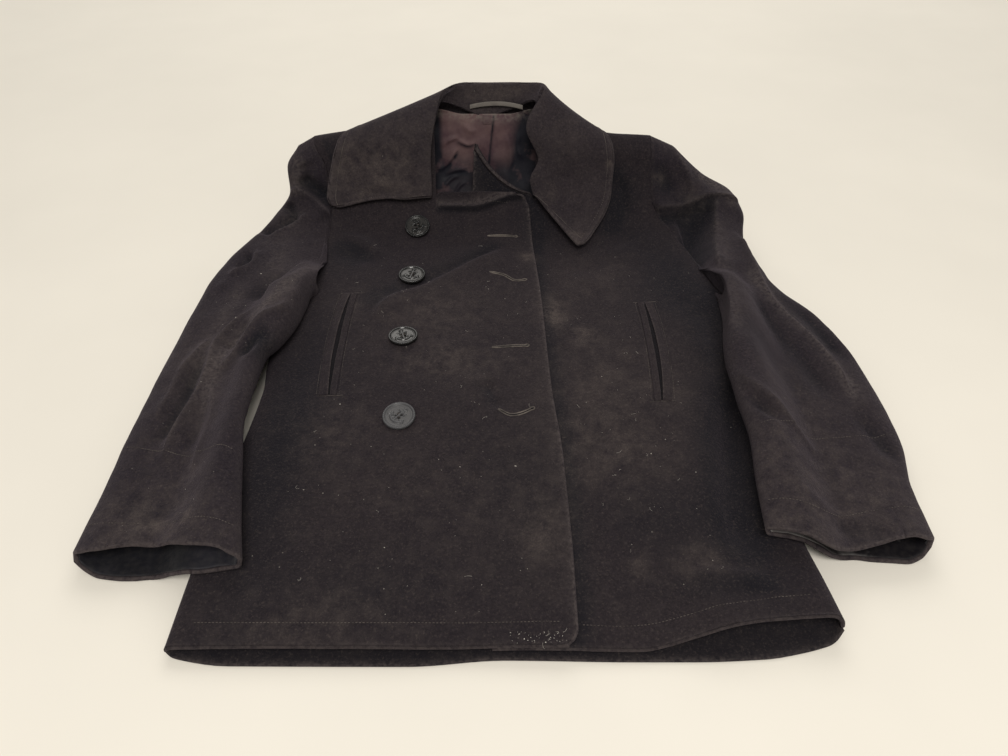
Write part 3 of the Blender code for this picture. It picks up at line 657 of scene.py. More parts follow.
def point_normals(points: Array, quads: Array) -> Array:
    """Normal at each point: the sum of the cross products of the diagonals of the quads round it."""
    cross = np.cross(points[quads[:, 2]] - points[quads[:, 0]], points[quads[:, 3]] - points[quads[:, 1]])
    normals = np.zeros_like(points)
    for k in range(4):
        np.add.at(normals, quads[:, k], cross)
    return unit(normals)


@dataclass
class Mesh:
    """Points, faces and the marks on them: dust, wear with painted highlight, and painted shade."""

    points: Array
    faces: Array
    marks: Array

    @classmethod
    def shell(cls, points: Array, quads: Array, marks: Array, wall: float | Array, rim: int = 4,
              draw: float | Array = 1.0) -> "Mesh":
        """Closed wall of cloth under an open surface, with half-round edges.

        The outer layer is the surface itself, drawn in by half the wall along its edges. The inner layer lies
        a wall's thickness under it, along the point normals. Round an edge, points turn from one to the
        other on a half circle about the middle of the wall.

        Args:
            points: outer points, of which those that no quad uses are dropped.
            quads: faces of the outer layer, anticlockwise from outside.
            marks: dust, wear with painted highlight, and painted shade at each point.
            wall: thickness, one for all or one for each point.
            rim: steps of the half circle.
            draw: how far edges are drawn in, as a share of half the wall. A small share hides a seam.

        Returns:
            The closed mesh.
        """
        used, numbers = np.unique(quads, return_inverse=True)
        quads = numbers.reshape(quads.shape)
        points, marks = points[used], marks[used]
        wall = np.full(len(points), wall) if np.ndim(wall) == 0 else wall[used]
        draw = np.full(len(points), draw) if np.ndim(draw) == 0 else draw[used]
        count = len(points)
        normals = point_normals(points, quads)
        start = quads.reshape(-1)
        end = np.roll(quads, -1, axis=1).reshape(-1)
        lone = ~np.isin(start * count + end, end * count + start)
        start, end = start[lone], end[lone]
        outward = np.zeros_like(points)
        along = unit(points[end] - points[start])
        np.add.at(outward, start, np.cross(along, normals[start]))
        np.add.at(outward, end, np.cross(along, normals[end]))
        outward = unit(outward)
        edge = np.unique(start)
        half = wall[:, None] / 2
        outer = points.copy()
        outer[edge] -= outward[edge] * half[edge] * draw[edge, None]
        layers = [outer, outer - 2 * half * normals]
        place = np.full(count, -1)
        place[edge] = np.arange(len(edge))
        centre = (outer - half * normals)[edge]
        ring = [edge]
        for k in range(1, rim):
            turn = math.pi * k / rim
            way = math.cos(turn) * normals[edge] + math.sin(turn) * outward[edge]
            layers.append(centre + half[edge] * way)
            ring.append(2 * count + (k - 1) * len(edge) + np.arange(len(edge)))
        ring.append(edge + count)
        faces = [quads, quads[:, ::-1] + count]
        for near, far in zip(ring[:-1], ring[1:]):
            a, b = place[start], place[end]
            faces.append(np.stack([near[b], near[a], far[a], far[b]], -1))
        all_marks = np.concatenate([marks, marks] + [marks[edge]] * (rim - 1))
        return cls(np.concatenate(layers), np.concatenate(faces), all_marks)

    @classmethod
    def join(cls, meshes: Sequence["Mesh"]) -> "Mesh":
        """One mesh of several."""
        offsets = np.cumsum([0] + [len(m.points) for m in meshes[:-1]])
        faces = np.concatenate([m.faces + o for m, o in zip(meshes, offsets)])
        points = np.concatenate([m.points for m in meshes])
        return cls(points, faces, np.concatenate([m.marks for m in meshes]))

    def make(self, name: str, finish: Material, slot: str, nodes: Sequence[str] = ()) -> Object:
        """Object of this mesh on the coat's one body.

        Args:
            name: the piece's name.
            finish: its material.
            slot: the record's material slot; not used.
            nodes: CAD nodes that it stands for.

        Returns:
            The piece.
        """
        data = bpy.data.meshes.new(name)
        data.vertices.add(len(self.points))
        points = np.maximum(self.points, (-1.0, -1.0, 0.0))
        data.vertices.foreach_set("co", points.astype(np.float32).ravel())
        data.loops.add(self.faces.size)
        data.loops.foreach_set("vertex_index", self.faces.astype(np.int32).ravel())
        data.polygons.add(len(self.faces))
        corners = self.faces.shape[1]
        data.polygons.foreach_set("loop_start", np.arange(0, self.faces.size, corners, dtype=np.int32))
        data.polygons.foreach_set("use_smooth", np.ones(len(self.faces), dtype=bool))
        data.update(calc_edges=True)
        data.validate()
        layer = data.attributes.new("marks", "FLOAT_COLOR", "POINT")
        colours = np.concatenate([self.marks, np.ones((len(self.marks), 1))], axis=1)
        layer.data.foreach_set("color", colours.astype(np.float32).ravel())
        data.materials.append(finish)
        piece = bpy.data.objects.new(name, data)
        bpy.context.scene.collection.objects.link(piece)
        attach(piece, "root")
        if nodes:
            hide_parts(*nodes)
        LOG.info("%s: %d faces", name, len(self.faces))
        return piece


def no_marks(points: Array) -> Array:
    """Marks of clean, unworn cloth for a grid or list of points."""
    return np.zeros(points.reshape(-1, 3).shape)


def tube(path: Array, radius: float | Array, sides: int = 8, flat: float = 1.0, closed: bool = False,
         up: Array | None = None) -> Mesh:
    """Round or flattened tube along a path.

    At each point of the path an ellipse stands square to it. Its short axis, `flat` times the radius, lies
    along `up` made square to the path. An open tube ends in points.

    Args:
        path: points, in order.
        radius: half-width, one for all or one for each point.
        sides: points round the tube.
        flat: short axis over long axis.
        closed: whether the last point joins the first.
        up: direction of the short axis, one for all or one for each point.

    Returns:
        The tube.
    """
    along = unit(np.roll(path, -1, 0) - np.roll(path, 1, 0)) if closed else unit(np.gradient(path, axis=0))
    up = np.broadcast_to(np.array([0.0, 0.0, 1.0]) if up is None else up, path.shape)
    rise = unit(up - (up * along).sum(-1, keepdims=True) * along)
    across = np.cross(along, rise)
    angle = 2 * math.pi * np.arange(sides) / sides
    radius = np.broadcast_to(radius, (len(path),)).copy()
    if not closed:
        radius[[0, -1]] *= 0.05
    ring = across[:, None] * np.cos(angle)[:, None] + rise[:, None] * flat * np.sin(angle)[:, None]
    points = path[:, None] + radius[:, None, None] * ring
    count = len(path)
    if closed:
        points = np.concatenate([points, points[:1]])
        quads = quads_of(count + 1, sides, closed=True) % (count * sides)
        points = points[:-1]
    else:
        first = np.array([(0, k + 2, k + 1, k) for k in range(1, sides - 1, 2)])
        last = first[:, ::-1] + (count - 1) * sides
        quads = np.concatenate([quads_of(count, sides, closed=True), first, last])
    points = points.reshape(-1, 3)
    return Mesh(points, quads, no_marks(points))


def repeat(template: Mesh, places: Array, axes: Array, sizes: Array) -> Mesh:
    """Copies of a small mesh: each point is its place plus the template's, turned onto the given axes.

    Args:
        template: the small mesh.
        places: where each copy goes.
        axes: three axes for each copy, which the template's x, y and z turn to.
        sizes: size of each copy along those axes.

    Returns:
        One mesh of all the copies.
    """
    local = template.points[None] * sizes[:, None]
    points = places[:, None] + np.einsum("cpk,ckd->cpd", local, axes)
    count = len(template.points)
    faces = template.faces[None] + (count * np.arange(len(places)))[:, None, None]
    points = points.reshape(-1, 3)
    return Mesh(points, faces.reshape(-1, template.faces.shape[1]), no_marks(points))


def bead(sides: int = 6, rings: int = 4) -> Mesh:
    """Small closed bead of radius 1: circles of latitude about x, whose end circles are nearly points."""
    turn = np.linspace(0.12, math.pi - 0.12, rings)[:, None]
    angle = 2 * math.pi * np.arange(sides) / sides
    ring = np.sin(turn)
    points = np.stack(np.broadcast_arrays(-np.cos(turn), ring * np.cos(angle), ring * np.sin(angle)), -1)
    quads = quads_of(rings, sides, closed=True)[:, ::-1]
    first = np.array([(0, 1, 2, 3), (0, 3, 4, 5)])
    caps = np.concatenate([first, first[:, ::-1] + (rings - 1) * sides])
    points = points.reshape(-1, 3)
    return Mesh(points, np.concatenate([quads, caps]), no_marks(points))


def frame_on(surface: Surface, x: Array, s: Array, step: float = 0.0015) -> tuple[Array, Array, Array, Array]:
    """Points of a surface with their own axes, from small differences.

    Args:
        surface: gives points in space for x and s.
        x, s: where.
        step: size of the difference.

    Returns:
        The points, the directions of growing x and s on the surface, and its normals.
    """
    place = surface(x, s)
    across = unit(surface(x + step, s) - surface(x - step, s))
    up = unit(surface(x, s + step) - surface(x, s - step))
    normal = unit(np.cross(across, up))
    return place, across, unit(np.cross(normal, across)), normal


def resample(path: Sequence[tuple[float, float]], spacing: float) -> Array:
    """Points at even spacing along the smooth curve through a few points."""
    corners = np.array(path, float)
    fine = catmull(np.linspace(0, len(corners) - 1, 40 * (len(corners) - 1) + 1), corners)
    length = np.concatenate([[0.0], np.cumsum(np.hypot(*np.diff(fine, axis=0).T))])
    at = np.linspace(0, length[-1], max(2, int(length[-1] / spacing) + 1))
    return np.stack([np.interp(at, length, fine[:, k]) for k in range(fine.shape[1])], -1)


# ---------------------------------------------------------------------------------------------------
# Finishes


class Nodes:
    """Short calls that add shader nodes to one material."""

    def __init__(self, name: str) -> None:
        """Starts a material with only its Principled shader and output."""
        self.material = bpy.data.materials.new(name)
        self.material.use_nodes = True
        self.tree = self.material.node_tree
        self.shader = self.tree.nodes["Principled BSDF"]
        self.place = self.add("ShaderNodeTexCoord").outputs["Object"]

    def add(self, kind: str, **values: object) -> bpy.types.Node:
        """A node of a kind, with its sockets set by name, or joined where the value is a socket."""
        node = self.tree.nodes.new(kind)
        for key, value in values.items():
            self.set(node.inputs[key.replace("_", " ")], value)
        return node

    def set(self, socket: bpy.types.NodeSocket, value: object) -> None:
        """Sets a socket to a value or joins it to another socket."""
        if isinstance(value, bpy.types.NodeSocket):
            self.tree.links.new(value, socket)
        else:
            socket.default_value = value

    def noise(self, scale: float, detail: float = 3.0, roughness: float = 0.6) -> object:
        """Value of soft noise."""
        sizes = {"Scale": scale, "Detail": detail, "Roughness": roughness}
        node = self.add("ShaderNodeTexNoise", Vector=self.place, **sizes)
        return node.outputs["Fac"]

    def math(self, kind: str, a: object, b: object = 0.0, clamp: bool = False) -> object:
        """Result of a sum on one or two values."""
        node = self.tree.nodes.new("ShaderNodeMath")
        node.operation = kind
        node.use_clamp = clamp
        self.set(node.inputs[0], a)
        self.set(node.inputs[1], b)
        return node.outputs[0]

    def span(self, value: object, low: float, high: float, to_low: float = 0.0,
             to_high: float = 1.0) -> object:
        """A value's span from low to high, stretched to another span and held at its ends."""
        node = self.tree.nodes.new("ShaderNodeMapRange")
        self.set(node.inputs["Value"], value)
        for key, number in (("From Min", low), ("From Max", high), ("To Min", to_low), ("To Max", to_high)):
            node.inputs[key].default_value = number
        return node.outputs["Result"]

    def mix(self, share: object, a: object, b: object) -> object:
        """Colour between two colours."""
        node = self.tree.nodes.new("ShaderNodeMix")
        node.data_type = "RGBA"
        self.set(node.inputs["Factor"], share)
        for key, value in (("A", a), ("B", b)):
            socket = [i for i in node.inputs if i.name == key and i.type == "RGBA"][0]
            self.set(socket, (*value, 1.0) if isinstance(value, tuple) else value)
        return [o for o in node.outputs if o.type == "RGBA"][0]

    def fix(self, **values: object) -> None:
        """Sets constants on the Principled shader, by name."""
        for key, value in values.items():
            self.shader.inputs[key.replace("_", " ")].default_value = value

    def bump(self, height: object, distance: float, strength: float = 1.0, under: object = None) -> object:
        """Normal of a height, on top of another bump."""
        node = self.add("ShaderNodeBump", Height=height, Distance=distance, Strength=strength)
        if under is not None:
            self.set(node.inputs["Normal"], under)
        return node.outputs["Normal"]

    def marks(self) -> tuple[object, object, object]:
        """The piece's dust, its wear with painted highlight, and its painted shade."""
        read = self.tree.nodes.new("ShaderNodeAttribute")
        read.attribute_name = "marks"
        split = self.tree.nodes.new("ShaderNodeSeparateColor")
        self.set(split.inputs[0], read.outputs["Color"])
        return tuple(split.outputs[k] for k in range(3))


@dataclass(frozen=True)
class Wool:
    """Heavy brushed wool: a soft nap, faded cloth, dust rubbed into it, stray white fibres, and painted shade
    and highlight where marked.
    """

    name: str
    dark: tuple[float, float, float] = (0.0180, 0.0140, 0.0175)
    faded: tuple[float, float, float] = (0.030, 0.0235, 0.0255)
    dusty: tuple[float, float, float] = (0.115, 0.093, 0.082)
    worn_and_highlight: tuple[float, float, float] = (0.075, 0.062, 0.060)
    lint: tuple[float, float, float] = (0.45, 0.42, 0.37)
    painted_shade: tuple[float, float, float] = (0.0065, 0.0065, 0.0095)

    def make(self) -> Material:
        """The material: large fading, mottled dust where it is marked, painted shade and wear with painted
        highlight where marked, specks, and a bump of fibres.
        """
        n = Nodes(self.name)
        dust, wear_and_highlight, shade = n.marks()
        fading = n.span(n.noise(7.0, 4.0, 0.62), 0.32, 0.70)
        mottle = n.noise(64.0, 5.0, 0.7)
        grain = n.noise(900.0, 3.0, 0.75)
        fibre = n.noise(2600.0, 2.0, 0.8)
        colour = n.mix(fading, self.dark, self.faded)
        holes = n.span(n.noise(300.0, 5.0, 0.85), 0.40, 0.64)
        colour = n.mix(holes, n.mix(0.55, colour, (0.004, 0.003, 0.005)), colour)
        # painted shade: the shade mark darkens the colour towards the painted shade colour
        colour = n.mix(n.math("MULTIPLY", shade, 0.80), colour, self.painted_shade)
        flecks = n.noise(420.0, 4.0, 0.85)
        colour = n.mix(n.span(flecks, 0.54, 0.70, 0.0, 0.36), colour, self.dusty)
        ground = n.span(mottle, 0.50, 0.78, 0.0, 0.06)
        amount = n.math("MULTIPLY", dust, n.span(mottle, 0.34, 0.66))
        amount = n.math("ADD", ground, n.math("MULTIPLY", amount, n.span(grain, 0.35, 0.62, 0.25, 1.0)), True)
        colour = n.mix(amount, colour, self.dusty)
        # wear and painted highlight: the wear mark lightens the colour towards the worn colour, which also
        # paints the crests' highlights
        rub_and_highlight = n.math("MULTIPLY", wear_and_highlight, n.span(n.noise(240.0, 4.0, 0.7), 0.36, 0.62))
        colour = n.mix(n.math("MULTIPLY", rub_and_highlight, 0.75), colour, self.worn_and_highlight)
        cells = n.add("ShaderNodeTexVoronoi", Vector=n.place, Scale=150.0)
        chosen = n.tree.nodes.new("ShaderNodeSeparateColor")
        n.set(chosen.inputs[0], cells.outputs["Color"])
        speck = n.math("MULTIPLY", n.math("GREATER_THAN", chosen.outputs[0], 0.975),
                       n.span(cells.outputs["Distance"], 0.05, 0.09, 1.0, 0.0))
        colour = n.mix(n.math("MULTIPLY", speck, 0.5), colour, self.lint)
        n.set(n.shader.inputs["Base Color"], colour)
        n.fix(Roughness=0.93, Specular_IOR_Level=0.15, Sheen_Weight=0.13, Sheen_Roughness=0.42,
              Sheen_Tint=(0.42, 0.35, 0.42, 1.0))
        felt = n.bump(n.noise(330.0, 4.0, 0.7), 0.0014, 0.80)
        n.set(n.shader.inputs["Normal"], n.bump(fibre, 0.0004, 0.6, felt))
        return n.material


@dataclass(frozen=True)
class Satin:
    """Smooth lining with a fine twill, faded in patches, and darkened where marked."""

    name: str
    fresh: tuple[float, float, float]
    faded: tuple[float, float, float]
    facing_and_shade: tuple[float, float, float]
    gloss: float = 0.42

    def make(self) -> Material:
        """The material: patches of fading, and a darker colour where the third mark is set, over a slanting
        rib too fine to count.
        """
        n = Nodes(self.name)
        dust, _, shade = n.marks()
        colour = n.mix(n.span(n.noise(24.0, 4.0, 0.6), 0.36, 0.66), self.fresh, self.faded)
        # third mark: painted shade on the back lining, and the dark wool facing in the cuffs
        colour = n.mix(n.math("MULTIPLY", shade, n.span(n.noise(46.0, 3.0), 0.20, 0.45)), colour, self.facing_and_shade)
        grey = n.math("MULTIPLY", dust, n.span(n.noise(180.0, 4.0), 0.40, 0.65))
        colour = n.mix(grey, colour, (0.17, 0.15, 0.13))
        n.set(n.shader.inputs["Base Color"], colour)
        rough = n.span(n.noise(60.0), 0.3, 0.7, self.gloss - 0.06, self.gloss + 0.14)
        n.set(n.shader.inputs["Roughness"], rough)
        n.fix(Sheen_Weight=0.05, Specular_IOR_Level=0.20)
        turn = n.add("ShaderNodeMapping", Vector=n.place)
        turn.inputs["Rotation"].default_value = (0.3, 0.2, 0.9)
        rib = n.tree.nodes.new("ShaderNodeTexWave")
        n.set(rib.inputs["Vector"], turn.outputs[0])
        rib.inputs["Scale"].default_value = 420.0
        rib.inputs["Distortion"].default_value = 1.2
        under = n.bump(n.noise(120.0, 3.0), 0.0006, 0.5)
        n.set(n.shader.inputs["Normal"], n.bump(rib.outputs["Fac"], 0.00012, 0.5, under))
        return n.material


@dataclass(frozen=True)
class Thread:
    """Twisted sewing thread."""

    name: str
    colour: tuple[float, float, float]
    pale: tuple[float, float, float]

    def make(self) -> Material:
        """The material: colour that wanders along the seam, and a fine twist."""
        n = Nodes(self.name)
        colour = n.mix(n.span(n.noise(90.0, 3.0), 0.38, 0.62), self.colour, self.pale)
        n.set(n.shader.inputs["Base Color"], colour)
        n.fix(Roughness=0.8, Specular_IOR_Level=0.25)
        n.set(n.shader.inputs["Normal"], n.bump(n.noise(3200.0, 2.0), 0.0002, 0.7))
        return n.material


@dataclass(frozen=True)
class Gloss:
    """Moulded black plastic, polished, with hair scratches and a trace of dust in its hollows."""

    name: str
    colour: tuple[float, float, float] = (0.005, 0.005, 0.0055)
    rough: float = 0.10

    def make(self) -> Material:
        """The material: nearly black, its gloss broken by fine scratches."""
        n = Nodes(self.name)
        dust, _, _ = n.marks()
        lines = n.add("ShaderNodeTexNoise", Vector=n.place, Scale=700.0, Detail=4.0, Distortion=2.2)
        scratch = lines.outputs["Fac"]
        amount = n.math("MULTIPLY", dust, n.span(n.noise(800.0, 3.0), 0.40, 0.62, 0.0, 0.22))
        n.set(n.shader.inputs["Base Color"], n.mix(amount, self.colour, (0.16, 0.14, 0.12)))
        n.set(n.shader.inputs["Roughness"], n.span(scratch, 0.35, 0.70, self.rough, self.rough + 0.16))
        n.fix(Specular_IOR_Level=0.5)
        n.set(n.shader.inputs["Normal"], n.bump(scratch, 0.00004, 0.5))
        return n.material


@dataclass(frozen=True)
class Floor:
    """Plain pale floor."""

    name: str
    colour: tuple[float, float, float] = (0.80, 0.765, 0.69)

    def make(self) -> Material:
        """The material: nearly even, with very faint clouding."""
        n = Nodes(self.name)
        darker = tuple(0.96 * c for c in self.colour)
        n.set(n.shader.inputs["Base Color"], n.mix(n.span(n.noise(3.0), 0.3, 0.7), darker, self.colour))
        n.fix(Roughness=0.7, Specular_IOR_Level=0.2)
        return n.material


@dataclass
class Wardrobe:
    """All the coat's finishes, made once."""

    wool: dict[str, Material] = field(default_factory=dict)

    def __post_init__(self) -> None:
        """Makes the materials."""
        for name in ("back", "overlap", "underlap", "welt"):
            self.wool[name] = Wool(f"wool_{name}").make()
        self.wool["collar"] = Wool("wool_collar", (0.0240, 0.0190, 0.0235), (0.0400, 0.0315, 0.0350)).make()
        purple = {"dark": (0.0185, 0.0145, 0.0200), "faded": (0.0330, 0.0260, 0.0300)}
        for name in ("right_upper", "right_under", "left_upper", "left_under"):
            self.wool[name] = Wool(f"wool_sleeve_{name}", **purple).make()
        # the back lining's third colour is its painted shade
        self.satin = Satin("satin_back", (0.054, 0.028, 0.034), (0.120, 0.074, 0.072),
                           (0.0050, 0.0048, 0.0095), 0.58).make()
        self.cuffs = {
            "right": Satin("satin_cuff_right", (0.0110, 0.0105, 0.0150), (0.0150, 0.0145, 0.0200),
                           (0.007, 0.007, 0.010), 0.5).make(),
            "left": Satin("satin_cuff_left", (0.080, 0.076, 0.078), (0.160, 0.150, 0.146),
                          (0.006, 0.005, 0.007), 0.45).make(),
        }
        self.loop = Satin("hanger_cloth", (0.085, 0.076, 0.070), (0.140, 0.126, 0.114),
                          (0.06, 0.06, 0.06), 0.6).make()
        self.thread = Thread("thread_dark", (0.040, 0.033, 0.032), (0.105, 0.090, 0.080)).make()
        self.pale = Thread("thread_pale", (0.055, 0.047, 0.042), (0.140, 0.120, 0.104)).make()
        self.lint = Thread("lint_white", (0.30, 0.28, 0.25), (0.55, 0.52, 0.47)).make()
        # the fourth button: a rougher finish, and a grey base colour that is a painted reflection
        hazy_painted_reflection = Gloss("button_hazy", (0.050, 0.050, 0.054), 0.30)
        self.buttons = [Gloss("button_black").make()] * 3 + [hazy_painted_reflection.make()]
        # near-black wool for the pocket mouths and buttonhole slits: painted shade inside the slits
        pocket = Wool("slit_painted_shade", (0.004, 0.004, 0.005), (0.006, 0.005, 0.006), (0.01, 0.01, 0.01))
        self.dark = pocket.make()


# ---------------------------------------------------------------------------------------------------
# Body


@dataclass(frozen=True)
class DustAndShadePatch:
    """Blurred patch of dust, wear, painted light or painted shade in x and s."""

    x: float
    s: float
    wide: float
    high: float
    amount: float

    def at(self, x: Array, s: Array) -> Array:
        """Amount at each point: a bell curve in both directions."""
        return self.amount * np.exp(-(((x - self.x) / self.wide) ** 2) - ((s - self.s) / self.high) ** 2)


def patches(*rows: tuple[float, ...]) -> tuple[DustAndShadePatch, ...]:
    """Patches from rows of x, s, width and height in millimetres, and the amount."""
    return tuple(DustAndShadePatch(*(size / MM for size in sizes), amount) for *sizes, amount in rows)


BODY_DUST = patches(
    (62, 441, 14, 30, 0.9), (96, 397, 12, 18, 0.6), (32, 560, 10, 12, 0.8), (-80, 430, 80, 70, 0.3),
    (-60, 340, 60, 30, 0.38), (-50, 140, 140, 120, 0.16), (110, 300, 60, 120, 0.3),
    (178, 78, 24, 16, 0.5), (122, 75, 10, 12, 0.45), (110, 210, 60, 40, 0.22), (-195, 450, 12, 16, 0.5),
    (35, 110, 20, 30, 0.35), (120, 520, 50, 40, 0.2), (186, 300, 20, 20, 0.3), (-180, 238, 34, 50, 0.3),
    (-170, 18, 85, 32, 0.28),
)
BODY_SHADE = patches(
    (168, 700, 22, 40, 0.9), (50, 640, 30, 60, 0.8), (-205, 560, 40, 50, 0.5), (-230, 230, 40, 190, 1),
    (225, 170, 30, 110, 0.9), (20, 160, 60, 100, 0.35), (235, 460, 25, 120, 0.6), (-120, 55, 80, 40, 0.4),
    (190, 55, 50, 14, 0.6), (180, 610, 50, 50, 0.5), (215, 530, 35, 50, 0.6), (155, 130, 45, 40, 0.5),
    (200, 470, 40, 45, 0.5),
)


def spots(patches: Sequence[DustAndShadePatch], x: Array, s: Array) -> Array:
    """Sum of several patches, at most 1."""
    return np.clip(sum((p.at(x, s) for p in patches), np.zeros(np.shape(x))), 0, 1)


@dataclass(frozen=True)
class Body:
    """Form of the coat's body, which its back and its two fronts share.

    The two faces stand half the body's thickness from its middle. They draw together as a quarter round at
    the side folds, at the lower end of each armhole and at the shoulder seams.
    """

    underarm_s: float = 0.447
    arm_round: float = 0.028
    fold_aspect: float = 0.75
    hem_lift: float = 0.014
    gorge_s: float = 0.700
    neck_right_x: float = -0.098
    neck_left_x: float = 0.046
    neck_drop: float = 0.018
    lap_step: float = 0.0042
    seam: float = 0.0002

    @property
    def neck_x(self) -> float:
        """Middle of the neck."""
        return (self.neck_right_x + self.neck_left_x) / 2

    @property
    def neck_half(self) -> float:
        """Half the width of the neck."""
        return (self.neck_left_x - self.neck_right_x) / 2

    def side(self, side: Side, s: Array) -> Array:
        """x of a side fold or armhole."""
        return BODY_TABLE.at(side.word, s)

    def depth(self, x: Array, s: Array) -> Array:
        """Thickness from outer face to outer face, with the hem lifted on the left."""
        lift = smooth((x - 0.12) / 0.08) * (1.0 - smooth(s / 0.12))
        return BODY_TABLE.at("deep", s) + self.hem_lift * lift

    def fold(self, x: Array, s: Array) -> Array:
        """Width of the round at a side fold, tighter where the hem is lifted."""
        lift = smooth((x - 0.12) / 0.08) * (1.0 - smooth(s / 0.10))
        return self.fold_aspect * self.depth(x, s) * (1 - 0.42 * lift)

    def armhole(self, s: Array) -> Array:
        """0 below the underarm and 1 where the armhole's edge has the body's whole depth."""
        return np.clip((s - self.underarm_s) / self.arm_round, 0, 1)

    def shoulder(self, x: Array) -> Array:
        """s of the shoulder seam."""
        return SHOULDER_TABLE.at("s", x)

    def fullness(self, x: Array, s: Array) -> Array:
        """0 where the two faces meet and 1 away from there."""
        fold = self.fold(x, s)
        full = corner(self.armhole(s) + (x - self.side(Side.RIGHT, s)) / fold)
        full = full * corner(self.armhole(s) + (self.side(Side.LEFT, s) - x) / fold)
        top = corner((self.shoulder(x) - s) / self.arm_round)
        neck = smooth((self.neck_half - np.abs(x - self.neck_x)) / 0.03)
        return full * (top + (1.0 - top) * neck)

    def face(self, x: Array, s: Array, leaf: Leaf) -> Array:
        """n of an outer face."""
        half = self.depth(x, s) / 2
        return half + leaf.value * (self.seam + (half - self.seam) * self.fullness(x, s))

    def relief(self, x: Array, s: Array) -> Array:
        """Creases and slow unevenness that the two fronts share, so that they stay a layer apart."""
        rise = heights(BODY_CREASES, x, s)
        rise = rise + waves(x, s, 4, 0.150, 0.0009) + waves(x, s, 9, 0.046, 0.00022)
        return rise * self.fullness(x, s) ** 2

    def side_rows(self, side: Side, low: Array, high: Array) -> tuple[Array, Array]:
        """x and s of the panels' rows at a side, from their shares below and above the gorge."""
        hem = HEM_TABLE.at("front", BODY_TABLE.at(side.word, 0.0))
        x = np.full(len(low) + len(high), float(self.side(side, 0.4)))
        for _ in range(4):
            top = self.gorge_s + (self.shoulder(x[len(low):]) - self.gorge_s) * high
            s = np.concatenate([hem + (self.gorge_s - hem) * low, top])
            x = self.side(side, s)
        return x, s


BODY = Body()


def spread(start: Array, end: Array, shares: Array) -> Array:
    """Columns from `start` to `end` at the given shares of the way."""
    return start[:, None] + (end - start)[:, None] * shares


@dataclass(frozen=True)
class Grain:
    """How finely the panels are divided."""

    low_rows: int = 200
    high_rows: int = 32
    fold_columns: int = 13

    @property
    def low(self) -> Array:
        """Rows below the gorge, as shares, closer together at the hem and below the neck's edge."""
        fine = np.linspace(0, 1, 800)
        dense = 1 + 1.5 * bell(fine, 0.05) + 3.0 * bell(fine - 0.975, 0.04)
        total = np.concatenate([[0], np.cumsum((dense[1:] + dense[:-1]) / 2)])
        return np.interp(np.linspace(0, total[-1], self.low_rows), total, fine)

    @property
    def high(self) -> Array:
        """Rows from the gorge to the shoulder, as shares, closer together at the shoulder."""
        t = np.linspace(0, 1, self.high_rows + 1)[1:]
        return 0.45 * t + 0.55 * np.sin(t * math.pi / 2)

    @property
    def fold(self) -> Array:
        """Columns round a side fold, as shares of its width, at even turns of its round."""
        return 1.25 * (1 - np.cos(np.linspace(0, math.pi / 2, self.fold_columns)))


GRAIN = Grain()


def panel_rows(hem: Array, gorge: Array, top: Array) -> Array:
    """s of a panel's points: from the hem to the gorge, and on to the panel's top."""
    count = GRAIN.low_rows
    lower = hem[:count] + (gorge[:count] - hem[:count]) * GRAIN.low[:, None]
    upper = gorge[count:] + (top[count:] - gorge[count:]) * GRAIN.high[:, None]
    return np.concatenate([lower, upper])


